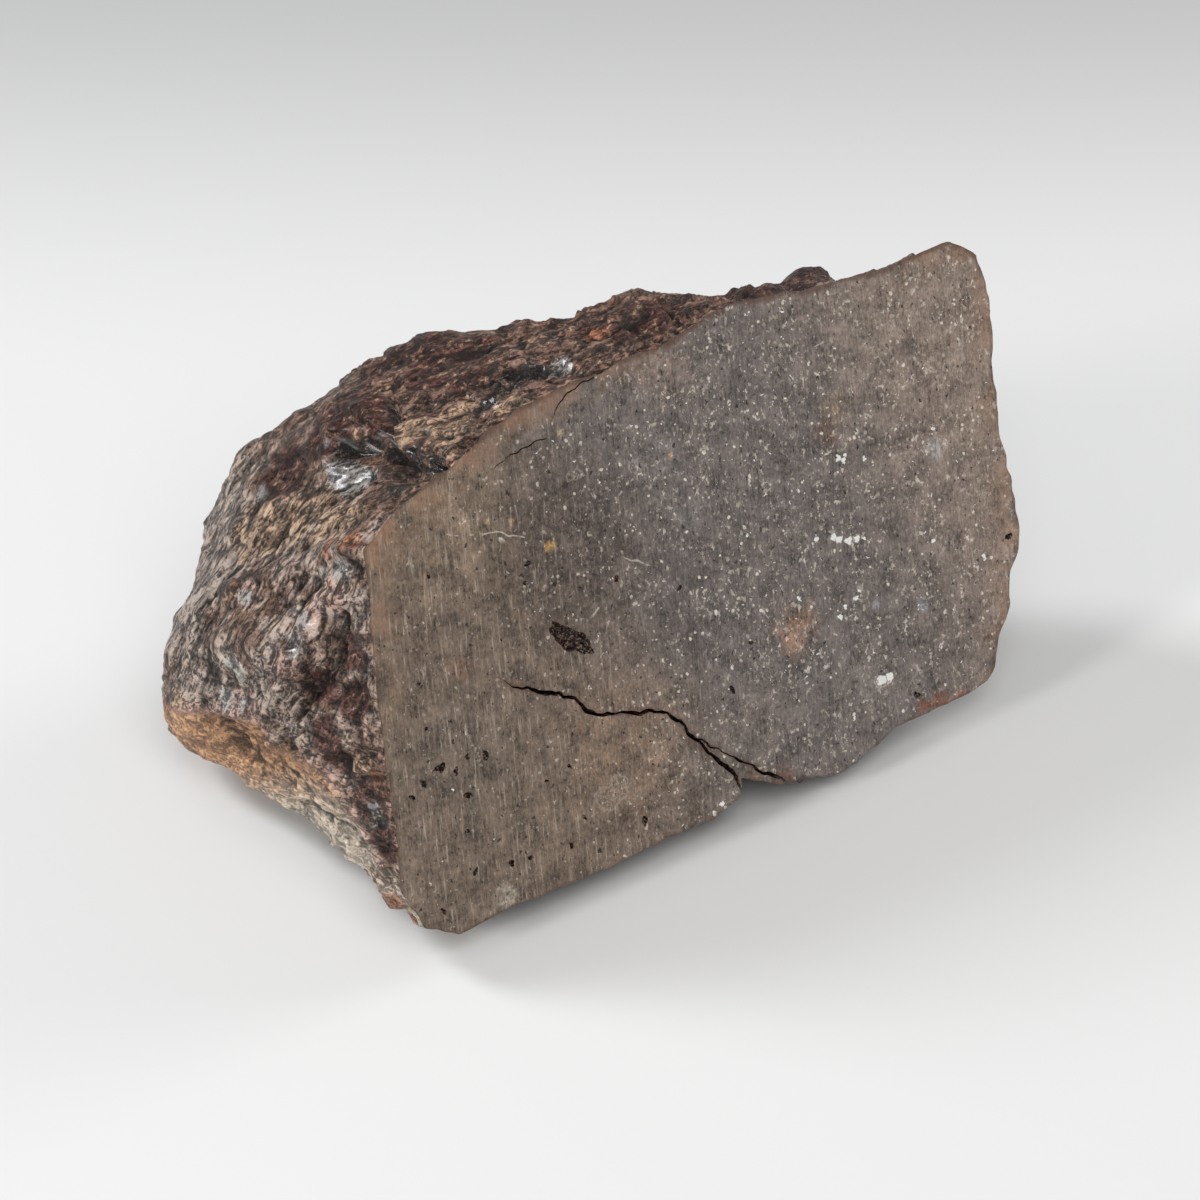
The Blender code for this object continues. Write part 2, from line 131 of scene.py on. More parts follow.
# The stone's form. The big sides, lumps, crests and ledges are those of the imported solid;
# the seams, flakes, wrinkles and finer scoops and grain are added here.
form = dict(
    # the crust's grid: points around the rim, closer together at the upper left, and rows from
    # the rim to the back, a little closer together near the rim
    rimSteps=660, rimCrowding=0.4, rimCrowdTo=math.radians(150.0), backRows=124, rowGrading=1.12,
    rimSamples=2000,
    # how far back the crust is drawn to the rim, how sharp its edges are, how wide each ledge's
    # step is, and the angle below which an edge is shaded smooth
    rimBlend=math.radians(14.0), edgeSharpness=36, ledgeEdge=0.7, smoothBelow=math.radians(50.0),
    # the sawn face's grid of points, and how far it stays inside the rim
    faceSpacing=0.5, faceInset=0.35,
    # outline of the sawn face, (right, up) from its middle
    outline=[
        (28.5, 5.8), (30.0, 11.6), (29.8, 14.9), (27.9, 16.6), (22.1, 16.5), (14.8, 17.1),
        (9.1, 18.2), (4.2, 17.2), (-3.5, 17.0), (-8.3, 16.6), (-11.6, 15.8), (-15.6, 14.3),
        (-19.4, 13.3), (-22.7, 11.3), (-23.9, 6.3), (-25.2, 0.1), (-26.3, -6.5),
        (-27.3, -11.8), (-26.5, -14.7), (-24.3, -16.2), (-20.0, -16.0), (-11.6, -16.2),
        (-3.2, -16.1), (-0.9, -15.6), (-0.3, -14.9), (-0.2, -14.3), (2.5, -15.7),
        (4.4, -16.2), (6.6, -16.8), (9.2, -16.9), (11.8, -16.1), (13.1, -15.6),
        (16.1, -15.4), (17.9, -15.6), (20.0, -15.6), (21.4, -15.1), (22.5, -14.2),
        (23.3, -12.5), (24.9, -10.4), (25.8, -8.5), (26.6, -7.3), (27.3, -5.4),
        (27.6, -2.6), (28.0, 0.5)],
    # broken sides: direction around the face, turn to the back, a point (right, up, depth)
    sides=[
        (131, -6, (-20.3, 13.7, 14.0)), (99, -15, (-6.0, 19.0, 14.0)),
        (84, -2, (8.0, 18.9, 10.0)), (66, 25, (20.0, 17.6, 0.0)),
        (20, 30, (30.0, 13.0, 0.0)), (2, 18, (28.8, 3.0, 0.0)),
        (-35, 24, (25.4, -10.0, 0.0)), (-60, 22, (14.0, -16.4, 0.0)),
        (-88, 19, (0.0, -16.4, 0.0)), (-112, 19, (-21.0, -16.4, 0.0)),
        (-140, 12, (-28.9, -13.8, 2.0)), (-158, -10, (-29.4, -7.4, 8.0)),
        (177, -27, (-26.2, 0.0, 2.2)), (174, -10, (-29.6, 1.0, 13.0)),
        (150, 26, (-26.1, 7.0, 26.0)), (190, 38, (-32.6, -1.0, 23.6)),
        (225, 38, (-31.6, -9.0, 19.0)), (112, 38, (-15.0, 17.6, 26.6)),
        (88, 44, (0.0, 18.5, 24.0)), (60, 50, (13.0, 16.0, 15.0)),
        (5, 64, (0.0, 0.0, 23.5)), (195, 68, (-18.0, 2.0, 31.0)),
        (-60, 50, (10.0, -10.0, 17.0)), (-99, 31.3, (-12.6, -9.2, 16.4)),
        (-70, 29.5, (2.5, -9.2, 16.4)), (-90, 50, (-5.0, -6.0, 22.8))],
    # lumps and hollows: middle, radius, height
    lumps=[
        ((17.9, 16.2, 5.2), 2.4, 3.0), ((-25.2, 8.6, 3.6), 1.9, 1.1),
        ((-24.5, 10.4, 2.2), 2.4, 0.8), ((-30.4, -2.2, 17.5), 3.8, -1.5),
        ((-28.8, -5.2, 11.4), 4.6, -2.2), ((-27.8, -8.8, 6.4), 3.4, -1.3),
        ((-27.9, -10.0, 7.0), 1.7, 1.2), ((-26.2, 2.6, 3.2), 3.2, -0.9),
        ((-18.6, 14.8, 8.6), 3.2, -1.1), ((-17.2, 14.8, 3.6), 2.0, -1.0),
        ((-6.5, 18.8, 18.6), 3.6, 1.2), ((-13.6, 18.6, 22.4), 4.2, -1.5),
        ((-30.4, 1.6, 22.6), 4.4, 1.6), ((-31.4, -2.6, 20.0), 3.2, 0.7),
        ((6.0, 6.0, 19.5), 8.0, -1.6), ((-16.0, 6.0, 30.0), 6.5, -1.3),
        ((-5.0, 8.0, 27.0), 4.0, 1.0), ((25.0, 4.0, 7.0), 5.0, -0.9),
        ((20.0, -9.0, 9.0), 5.0, -0.9)],
    # crests and crevices: half width, height, line
    crests=[
        (2.0, 1.2, [(-32.0, 1.3, 20.4), (-30.7, 1.1, 17.5), (-30.0, 0.6, 15.1), (-29.2, 0.4, 11.3),
                    (-28.6, -1.2, 7.6), (-28.2, -2.6, 5.2), (-27.7, -4.7, 3.9), (-27.5, -7.4, 2.7),
                    (-27.6, -10.2, 1.9), (-27.3, -12.6, 1.9)]),
        (1.8, 0.5, [(-32.2, -2.2, 22.5), (-31.6, -3.6, 18.5), (-30.0, -6.0, 15.0),
                    (-28.4, -8.4, 11.0), (-27.4, -10.8, 7.5), (-27.2, -13.2, 3.5)]),
        (1.6, 1.0, [(-21.8, 12.0, 0.6), (-22.8, 11.2, 3.0), (-23.0, 10.9, 6.0), (-25.2, 9.6, 11.0),
                    (-26.6, 8.8, 15.0)]),
        (1.6, 0.9, [(-25.6, 8.0, 5.6), (-26.8, 5.2, 6.4), (-28.0, 2.4, 7.6), (-28.4, -0.6, 8.4)]),
        (1.1, -1.7, [(-24.9, 7.0, 2.8), (-26.0, 4.8, 3.9), (-27.2, 2.6, 5.8), (-27.9, 1.0, 7.0)]),
        (1.2, -1.2, [(-11.0, 17.9, 13.3), (-12.6, 17.3, 11.9), (-13.6, 16.6, 9.8),
                     (-15.6, 16.1, 9.3)]),
        (1.5, -1.7, [(-17.2, 16.1, 12.4), (-15.8, 16.1, 9.8), (-16.1, 15.6, 7.0),
                     (-16.5, 15.1, 4.8), (-16.0, 14.8, 2.4), (-15.3, 14.6, 0.9)]),
        (3.0, 0.6, [(-27.0, 3.0, 27.0), (-20.0, 11.0, 27.5), (-9.0, 15.0, 26.0),
                    (4.0, 15.5, 21.5)]),
        (3.0, 1.0, [(2.0, 14.0, 22.0), (-2.0, 6.0, 25.5), (-8.0, -1.0, 26.5),
                    (-12.0, -6.0, 25.0)]),
        (2.4, 0.8, [(25.5, 14.0, 4.0), (24.0, 4.0, 8.0), (22.0, -4.0, 9.5),
                    (19.0, -12.0, 8.0)])],
    # ledges: height, reach, raised side, line
    ledges=[
        (0.9, 6.0, (0.0, 0.0, 1.0), [(-12.9, 16.9, 10.7), (-10.5, 16.5, 9.0), (-8.1, 16.6, 7.4),
                                     (-4.7, 17.2, 5.6), (-1.4, 17.6, 5.2), (3.0, 18.0, 4.4)]),
        (0.7, 5.0, (0.0, 0.0, 1.0), [(-6.0, 18.4, 13.0), (0.0, 18.9, 10.5), (6.0, 19.0, 8.5),
                                     (12.0, 18.4, 6.5)]),
        (0.8, 5.0, (1.0, 0.0, 0.0), [(-14.7, 16.6, 9.5), (-15.8, 15.6, 7.0), (-15.8, 15.0, 4.5),
                                     (-14.6, 14.9, 1.5)]),
        (0.6, 6.0, (0.0, 0.0, 1.0), [(-22.0, 13.0, 19.0), (-26.0, 8.5, 18.0), (-29.0, 3.0, 17.5)]),
        (0.9, 7.0, (-1.0, 0.0, 0.0), [(8.0, 14.0, 18.0), (7.0, 6.0, 20.5), (4.0, -2.0, 22.0),
                                      (2.0, -9.0, 20.0)])],
    # seams, narrow open crevices: half width, depth, line; their walls wander by a noise of
    # this size, amount and seed
    seamWander=(1.5, 0.45, 140),
    seams=[
        (0.55, 1.1, [(-11.0, 18.2, 13.6), (-12.2, 17.6, 12.2), (-13.6, 16.8, 10.4),
                     (-13.9, 16.4, 9.0), (-14.9, 16.2, 8.2)]),
        (0.45, 0.7, [(-13.8, 16.4, 9.2), (-11.4, 16.6, 8.6), (-9.0, 16.8, 7.6),
                     (-6.6, 17.0, 6.4)]),
        (0.60, 1.2, [(-18.0, 15.6, 11.4), (-16.6, 15.9, 10.0), (-15.8, 15.8, 8.4),
                     (-16.2, 15.4, 6.4), (-16.6, 15.0, 4.2), (-15.6, 14.6, 1.2)]),
        (0.60, 1.0, [(-18.9, 13.9, 2.4), (-17.6, 14.4, 2.8), (-16.3, 14.7, 3.0)]),
        (0.50, 1.6, [(-24.3, 6.9, 3.2), (-25.2, 5.5, 4.1), (-26.2, 4.1, 5.2), (-26.8, 3.4, 5.9),
                     (-27.3, 2.5, 6.7), (-27.7, 0.6, 7.1)]),
        (0.50, 0.8, [(-27.2, 4.4, 7.6), (-27.5, 2.9, 7.2), (-27.8, 1.6, 6.4)]),
        (0.45, 0.5, [(-30.7, 0.2, 17.5), (-29.8, -0.5, 14.6), (-29.0, -0.9, 11.0),
                     (-28.4, -2.4, 7.8), (-28.0, -3.8, 5.8), (-27.7, -5.8, 4.6), (-27.6, -8.4, 3.6)]),
        (0.40, 0.6, [(-24.6, 9.8, 1.2), (-24.2, 10.0, 4.0), (-25.4, 9.4, 7.0)]),
        (0.45, 0.7, [(-9.6, 16.2, 4.6), (-7.4, 16.6, 4.8), (-5.0, 16.8, 5.4), (-2.4, 17.4, 5.2)]),
        (0.40, 0.5, [(-27.0, -4.8, 3.2), (-27.2, -6.8, 2.8), (-27.4, -9.0, 2.8)]),
        (0.40, 0.5, [(4.0, 12.0, 21.5), (2.0, 6.0, 23.5), (3.0, 0.0, 23.0), (0.0, -5.0, 22.0)]),
        (0.40, 0.5, [(22.0, 10.0, 10.0), (20.0, 3.0, 13.0), (17.0, -4.0, 14.5)])],
    # size, height and seed of each layer of scoops and of noise; the first two of each are
    # the solid's
    scoops=[(8.0, 1.3, 5), (3.4, 0.65, 21), (1.7, 0.42, 22), (0.9, 0.16, 23)],
    noise=[(6.0, 0.55, 11), (2.8, 0.30, 12), (1.1, 0.16, 13), (0.55, 0.09, 14)],
    solidLayers=2, meanScoop=0.35,
    # size, amount and seed of the noise that shifts points about under the finer scoops, the
    # flakes and the wrinkles, and how much the scoops are scaled and slanted
    shifts=[(2.4, 1.0, 40), (0.9, 0.4, 50)], shiftBy=0.7, slant=((1.25, 0.8, 1.0), 0.35),
    flakes=dict(size=3.6, seed=61, steps=2.2, height=0.30, edge=0.25, mean=0.4),
    # wrinkles: size, height and seed; they run along the direction of the nearest region, and
    # wrinklePatches (size, amount, seed) makes them stronger here and weaker there
    wrinkles=[(1.6, 0.56, 71), (0.8, 0.42, 72), (0.45, 0.24, 73)], wrinkleStretch=3.0,
    wrinkleShift=0.35, wrinkleSharpness=2.2, meanWrinkle=0.6, wrinklePatches=(5.0, 0.35, 80),
    rimChips=[(2.2, 0.22, 31), (0.8, 0.12, 32)], rimWear=0.05,
)


def rimPoints():
    # points along the face's outline, with small chips in and out
    outline = np.array(form["outline"] + form["outline"][:1])
    lengths = np.linalg.norm(np.diff(outline, axis=0), axis=1)
    travelled = np.concatenate([[0.0], np.cumsum(lengths)])
    # distances along the rim are stretched where more points are wanted, up and to the left
    fine = np.linspace(0.0, travelled[-1], form["rimSamples"])
    spots = np.stack([np.interp(fine, travelled, outline[:, axis]) for axis in (0, 1)], axis=-1)
    angle = np.arctan2(spots[:, 1], spots[:, 0])
    crowding = np.cumsum(1.0 + form["rimCrowding"] * np.cos(angle - form["rimCrowdTo"]))
    stations = np.linspace(crowding[0], crowding[-1], form["rimSteps"], endpoint=False)
    rim = np.stack([np.interp(stations, crowding, spots[:, axis]) for axis in (0, 1)], axis=-1)
    flat = np.column_stack([rim, np.zeros(len(rim))])
    chips = layeredNoise(flat, form["rimChips"]) - form["rimWear"]
    return rim * (1.0 + chips / np.linalg.norm(rim, axis=1))[:, None]


def brokenBody(directions):
    # distance from the face's middle to where the planes of the broken sides meet:
    # one over the power mean of cosine / plane distance, which rounds the edges a little
    total = 0.0
    for around, backward, point in form["sides"]:
        turn, back = math.radians(around), math.radians(backward)
        normal = np.array([math.cos(back) * math.cos(turn), math.cos(back) * math.sin(turn),
                           math.sin(back)])
        cosine = np.maximum(0.0, directions @ normal / (normal @ np.array(point)))
        total = total + cosine ** form["edgeSharpness"]
    return total ** (-1.0 / form["edgeSharpness"])


def seamGaps(points):
    # for each seam the distance to its line over its half width, on points pushed about a little
    size, amount, seed = form["seamWander"]
    pushed = points + amount * noiseVector(points, size, seed)
    return [nearestOnLine(pushed, line)[1] / halfWidth for halfWidth, _, line in form["seams"]]


def plannedRelief(points):
    # what has a place of its own: lumps are bells, crests are ridges with straight sides,
    # ledges are smooth steps that fade with distance, and seams are grooves with straight sides
    height = np.zeros(points.shape[:-1])
    for middle, radius, rise in form["lumps"]:
        height += rise * np.exp(-((points - np.array(middle)) ** 2).sum(axis=-1) / radius ** 2)
    for halfWidth, rise, line in form["crests"]:
        gap = nearestOnLine(points, line)[1]
        height += rise * np.maximum(0.0, 1.0 - gap / halfWidth)
    for rise, reach, raisedSide, line in form["ledges"]:
        spot, gap = nearestOnLine(points, line)
        side = (points - spot) @ np.array(raisedSide)
        height += rise * smoothStep(side / form["ledgeEdge"] + 0.5) * np.exp(-(gap / reach) ** 2)
    for (_, depth, _), gap in zip(form["seams"], seamGaps(points)):
        height -= depth * np.maximum(0.0, 1.0 - gap)
    return height


# Regions of the crust: the middle of each, how far it reaches, which way its wrinkles run, how
# rough it is, how strong its wrinkles are, and how fine they are in the material
regions = dict(
    flank=dict(middle=(-25.0, 8.0, 13.0), reach=11.0, along=(0.68, 0.70, -0.20), rough=0.62,
               folded=1.0, fineness=1.8),
    crown=dict(middle=(-4.0, 18.0, 9.0), reach=14.0, along=(0.96, 0.10, -0.26), rough=0.95,
               folded=0.9, fineness=2.0),
    skirt=dict(middle=(-29.0, -7.0, 11.0), reach=9.0, along=(0.17, -0.42, -0.89), rough=0.50,
               folded=0.55, fineness=3.0),
    behind=dict(middle=(5.0, 2.0, 22.0), reach=22.0, along=(0.30, 0.95, 0.10), rough=0.9,
                folded=0.9, fineness=1.8),
)


def regionShares(points):
    # how much of each region a point belongs to: bells around the middles, scaled to sum to 1
    bells = {name: np.exp(-((points - np.array(region["middle"])) ** 2).sum(axis=-1)
                          / region["reach"] ** 2) + 1e-6 for name, region in regions.items()}
    total = sum(bells.values())
    return {name: bell / total for name, bell in bells.items()}


def stretched(points, along):
    # shrinks lengths along one direction, so that noise on the result is drawn out that way
    along = np.array(along) / np.linalg.norm(along)
    return points - (points @ along)[..., None] * along * (1.0 - 1.0 / form["wrinkleStretch"])


def naturalRelief(points):
    # the solid's own scoops and noise, then finer ones on points that are shifted about by
    # noise, so that no lattice shows, then flakes, a staircase of a smooth field, and wrinkles,
    # the folds where a drawn out noise crosses zero
    height = np.zeros(points.shape[:-1])
    solid = form["solidLayers"]
    for size, rise, seed in form["scoops"][:solid]:
        height += rise * (scoops(points, size, seed) - form["meanScoop"])
    for size, rise, seed in form["noise"][:solid]:
        height += rise * latticeNoise(points, size, seed)
    shares = regionShares(points)
    rough = sum(share * regions[name]["rough"] for name, share in shares.items())
    height *= 0.5 + 0.5 * rough
    fine = layeredNoise(points, form["noise"][solid:])
    shift = sum(amount * noiseVector(points, size, seed) for size, amount, seed in form["shifts"])
    shifted = points + form["shiftBy"] * shift
    scale, lean = form["slant"]
    slant = shifted * np.array(scale) + lean * shifted[..., [1, 2, 0]]
    for size, rise, seed in form["scoops"][solid:]:
        fine += rise * (scoops(slant, size, seed) - form["meanScoop"])
    flakes = form["flakes"]
    field = flakes["steps"] * latticeNoise(shifted, flakes["size"], flakes["seed"])
    landing = np.floor(field)
    stair = landing + smoothStep((field - landing) / flakes["edge"]) - field
    fine += flakes["height"] * (stair - flakes["mean"])
    height += rough * fine
    patchSize, patchAmount, patchSeed = form["wrinklePatches"]
    strength = 1.0 - patchAmount + patchAmount * latticeNoise(points, patchSize, patchSeed)
    for name, share in shares.items():
        drawn = stretched(points + form["wrinkleShift"] * shift, regions[name]["along"])
        strong = regions[name]["folded"] * strength
        for size, rise, seed in form["wrinkles"]:
            fold = np.abs(latticeNoise(drawn, size, seed)) * form["wrinkleSharpness"]
            height += share * strong * rise * (np.minimum(1.0, fold) - form["meanWrinkle"])
    return height


def crustPoints():
    # Rows of points from the rim to just before the far point, then the far point. Each row has
    # turned further back from the face, and each point lies in its own direction at the reach of
    # the broken body plus the relief there; the first row is moved to the rim, and the rows after
    # it by the same amount times a bell that fades with the turn back.
    rim = rimPoints()
    around = np.arctan2(rim[:, 1], rim[:, 0])[None, :]
    rows = np.linspace(0.0, 1.0, form["backRows"] + 1) ** form["rowGrading"]
    backward = (rows * math.pi / 2.0)[:, None]
    directions = np.stack([np.cos(backward) * np.cos(around), np.cos(backward) * np.sin(around),
                           np.sin(backward) * np.ones_like(around)], axis=-1)
    reach = brokenBody(directions)
    points = directions * reach[..., None]
    reach = reach + plannedRelief(points) + naturalRelief(points)
    rimGap = np.linalg.norm(rim, axis=-1) - reach[0]
    reach = reach + rimGap * np.exp(-(backward / form["rimBlend"]) ** 2)
    points = directions * reach[..., None]
    return points[:-1], points[-1].mean(axis=0), rim


def onFloor(spots):
    spots[..., 2] = np.maximum(spots[..., 2], 0.0)
    return spots


def facePoints(rim):
    # points inside the rim on a grid of triangles, joined to the rim by Delaunay's rule
    spacing = form["faceSpacing"]
    lowest, highest = rim.min(axis=0), rim.max(axis=0)
    across = np.arange(lowest[0], highest[0], spacing)
    up = np.arange(lowest[1], highest[1], spacing * 0.866)     # rows of even triangles
    grid = np.stack(np.meshgrid(across, up), axis=-1)
    grid[1::2, :, 0] += spacing / 2.0
    grid = grid.reshape(-1, 2)
    angle = np.arctan2(rim[:, 1], rim[:, 0])
    order = np.argsort(angle)
    reach = np.interp(np.arctan2(grid[:, 1], grid[:, 0]), angle[order],
                      np.linalg.norm(rim, axis=1)[order], period=2.0 * math.pi)
    inside = np.linalg.norm(grid, axis=1) < reach - form["faceInset"]
    spots = [Vector(spot) for spot in np.concatenate([rim, grid[inside]])]
    ring = list(range(len(rim)))
    verts, _, faces, *_ = delaunay_2d_cdt(spots, [], [ring], 1, 1e-6)
    return np.array([tuple(spot) for spot in verts]), faces


def makeMesh(name, spots, faces, materials=()):
    mesh = bpy.data.meshes.new(name)
    mesh.from_pydata(spots.tolist(), [], faces)
    for material in materials:
        mesh.materials.append(material)
    thing = bpy.data.objects.new(name, mesh)
    bpy.context.collection.objects.link(thing)
    return thing


def gridFaces(rows, columns):
    # quads of a grid that closes on itself along its columns
    row, column = np.meshgrid(np.arange(rows - 1), np.arange(columns), indexing="ij")
    after = (column + 1) % columns
    quads = np.stack([row * columns + after, row * columns + column,
                      (row + 1) * columns + column, (row + 1) * columns + after], axis=-1)
    return quads.reshape(-1, 4)


def makeStone(materials):
    # the crust as a grid from the rim to a fan at the far point, closed by the sawn face
    rows, farPoint, rim = crustPoints()
    steps = form["rimSteps"]
    crust = rows.reshape(-1, 3)
    quads = gridFaces(len(rows), steps)
    last = (len(rows) - 1) * steps + np.arange(steps)
    fan = np.stack([np.roll(last, -1), last, np.full(steps, len(crust))], axis=-1)
    flat, flatFaces = facePoints(rim)
    inner = flat[steps:]
    offset = len(crust) + 1 - steps
    number = np.concatenate([np.arange(steps), np.arange(steps, len(flat)) + offset])
    flatFaces = [[int(number[corner]) for corner in face] for face in flatFaces]
    inner = np.column_stack([inner, np.zeros(len(inner))])
    spots = onFloor(toSpace(np.concatenate([crust, farPoint[None], inner])))
    stone = makeMesh("endCutStone", spots, quads.tolist() + fan.tolist() + flatFaces, materials)
    slots = np.zeros(len(stone.data.polygons), dtype=np.int32)
    slots[len(quads) + len(fan):] = 1
    stone.data.polygons.foreach_set("material_index", slots)
    print("stone:", len(spots), "points,", len(slots), "faces")
    return stone


# Openings in the sawn face: the crack with its branch, hairline cracks, the vug and the pits
openings = dict(
    crack=dict(depth=1.5, halfWidth=0.105, line=[
        (-16.0, -0.6), (-14.9, -1.5), (-13.3, -2.5), (-10.8, -4.0), (-10.3, -5.1),
        (-9.4, -5.7), (-6.9, -6.6), (-5.9, -6.8), (-4.3, -7.6), (-3.6, -8.6),
        (-2.8, -10.4), (-1.6, -12.3), (-0.5, -13.8), (-0.3, -16.4)]),
    branch=dict(depth=1.1, halfWidth=0.10, line=[
        (-3.3, -9.8), (-1.1, -11.7), (0.0, -12.9), (2.1, -14.8), (4.6, -17.0)]),
    topRim=dict(depth=0.4, halfWidth=0.04, line=[
        (-6.8, 14.9), (-6.2, 15.3), (-5.2, 16.1), (-4.2, 16.3), (-2.6, 16.8), (-0.6, 17.1),
        (0.8, 18.6)]),
    topLeft=dict(depth=0.35, halfWidth=0.035, line=[
        (-12.2, 13.2), (-11.5, 13.4), (-10.1, 13.6), (-9.1, 13.7), (-8.0, 14.0), (-7.4, 13.9)]),
)


# How every crack wanders: the spacing of its sections, then size, amount and what is added to
# its seed, for its path and for its width; its lean to one side; how far along it is fully open,
# and how open and how deep it starts; and its section's corners (across in half widths, down in
# depths, whether the corner leans)
crackWalls = dict(
    spacing=0.22, path=[(0.8, 0.14, 0), (0.35, 0.11, 2)], width=[(1.3, 0.5, 4), (0.4, 0.35, 6)],
    lean=(2.0, 0.5, 5), openAfter=0.25, startOpen=0.15, startDeep=0.35,
    section=[(-2.2, -1.0, 0), (2.2, -1.0, 0), (0.75, 0.4, 1), (0.0, 1.0, 1), (-0.75, 0.5, 1)],
    firstSeed=90, seedStep=10)

# The chip that is gone from the rim beside the crack's branch: outline, and how far it goes into
# the face and stands above it
sliver = dict(outline=[(0.3, -14.7), (1.3, -15.0), (2.2, -15.6), (2.9, -17.6), (0.5, -17.6)],
              deep=0.9, above=1.0)


def resample(line, step):
    # points an even step apart along a line of straight runs
    line = np.array(line, dtype=float)
    travelled = np.concatenate([[0.0], np.cumsum(np.linalg.norm(np.diff(line, axis=0), axis=1))])
    count = int(travelled[-1] / step) + 1
    stations = np.linspace(0.0, travelled[-1], count)
    return np.stack([np.interp(stations, travelled, line[:, axis]) for axis in (0, 1)], axis=-1)


def crackCutter(name, line, depth, halfWidth, seed):
    # a wedge carried along the crack, whose path, width and lean wander
    path = resample(line, crackWalls["spacing"])
    flat = np.column_stack([path, np.zeros(len(path))])
    path = sum((amount * noiseVector(flat, size, seed + more, 2)
                for size, amount, more in crackWalls["path"]), path)
    ahead = np.gradient(path, axis=0)
    ahead /= np.linalg.norm(ahead, axis=1)[:, None]
    across = np.stack([-ahead[:, 1], ahead[:, 0]], axis=-1)
    width = halfWidth * sum((amount * latticeNoise(flat, size, seed + more)
                             for size, amount, more in crackWalls["width"]), 1.0)
    along = np.linspace(0.0, 1.0, len(path))
    opening = smoothStep(along / crackWalls["openAfter"] + crackWalls["startOpen"])
    width = (width * opening)[:, None]
    deep = depth * (crackWalls["startDeep"] + (1.0 - crackWalls["startDeep"]) * opening)
    size, amount, more = crackWalls["lean"]
    lean = amount * latticeNoise(flat, size, seed + more)[:, None]
    corners = [np.column_stack([path + (side + leans * lean) * width * across, down * deep])
               for side, down, leans in crackWalls["section"]]
    sections = np.stack(corners, axis=1)
    faces = gridFaces(len(path), len(corners))[:, ::-1].tolist()
    first = list(range(len(corners)))
    final = [(len(path) - 1) * len(corners) + i for i in reversed(range(len(corners)))]
    return makeMesh(name, toSpace(sections.reshape(-1, 3)), faces + [first, final])


def blob(middle, radii, turn, rough, seed, columns, rows):
    # a ball with its middle in the face: each point of a unit ball is pushed in and out by noise,
    # stretched to three radii and turned
    around = np.linspace(0.0, 2.0 * math.pi, columns, endpoint=False)[None, :]
    down = (np.arange(1, rows) / rows * math.pi)[:, None]
    ball = np.stack([np.sin(down) * np.cos(around), np.sin(down) * np.sin(around),
                     np.cos(down) * np.ones_like(around)], axis=-1).reshape(-1, 3)
    ball = np.concatenate([ball, [(0.0, 0.0, 1.0), (0.0, 0.0, -1.0)]])
    bumps = latticeNoise(ball + 3.0 * seed, 0.7, seed) + 0.6 * latticeNoise(ball, 0.33, seed + 1)
    ball = ball * (1.0 + rough * bumps)[:, None] * np.array(radii)
    cosine, sine = math.cos(turn), math.sin(turn)
    turned = np.column_stack([cosine * ball[:, 0] - sine * ball[:, 1],
                              sine * ball[:, 0] + cosine * ball[:, 1], ball[:, 2]])
    spots = turned + np.array([*middle, 0.0])
    quads = gridFaces(rows - 1, columns)
    top, bottom = len(spots) - 2, len(spots) - 1
    first, last = np.arange(columns), (rows - 2) * columns + np.arange(columns)
    faces = quads.tolist()
    faces += np.stack([first, np.roll(first, -1), np.full(columns, top)], axis=-1).tolist()
    faces += np.stack([np.roll(last, -1), last, np.full(columns, bottom)], axis=-1).tolist()
    return spots, faces


hollows = dict(
    vug=dict(middle=(-9.7, 0.0), radii=(1.9, 0.85, 0.95), turn=math.radians(-49.0), rough=0.34,
             seed=71, columns=44, rows=22),
    # every pit: its radii over its own radius, roughness and grid; each is turned further and has
    # the next seed
    pit=dict(shape=(1.25, 0.8, 1.1), rough=0.5, columns=14, rows=9), pitTurn=0.9, pitSeed=80,
    # pits seen on the face: middle and radius
    pits=[((-22.0, -4.7), 0.40), ((-20.9, -5.4), 0.26), ((-23.5, -5.3), 0.24), ((-20.6, -7.3), 0.32),
          ((-19.8, -4.7), 0.24), ((-18.5, -5.2), 0.28), ((-24.6, -5.8), 0.20), ((-21.4, -9.6), 0.18),
          ((-21.7, -12.5), 0.22), ((-24.8, -14.2), 0.20), ((-19.0, -13.0), 0.22),
          ((-17.5, -13.2), 0.18), ((-14.3, -13.6), 0.20), ((-12.7, -8.3), 0.18),
          ((-14.7, -8.6), 0.16), ((-8.4, -14.2), 0.30), ((-12.7, -12.1), 0.16),
          ((3.5, -5.3), 0.18), ((-0.8, 0.4), 0.20), ((-5.2, 2.8), 0.24), ((-12.0, 5.0), 0.18),
          ((-11.4, 6.2), 0.20), ((-9.9, 4.1), 0.16), ((1.0, -7.9), 0.28), ((-21.6, 1.3), 0.16),
          ((-22.1, -1.8), 0.16), ((-18.7, 8.0), 0.18), ((15.4, -13.9), 0.26), ((26.4, -5.6), 0.28)],
)


def hollowCutter():
    # the vug with a rough outline, and every pit a small rough hollow of its own
    parts = [blob(**hollows["vug"])]
    pit = dict(hollows["pit"])
    shape = pit.pop("shape")
    for number, (middle, radius) in enumerate(hollows["pits"]):
        parts.append(blob(middle, [share * radius for share in shape], hollows["pitTurn"] * number,
                          seed=hollows["pitSeed"] + number, **pit))
    spots, faces = [], []
    for partSpots, partFaces in parts:
        faces += [[corner + len(spots) for corner in face] for face in partFaces]
        spots += partSpots.tolist()
    return makeMesh("hollowCutter", toSpace(np.array(spots)), faces)


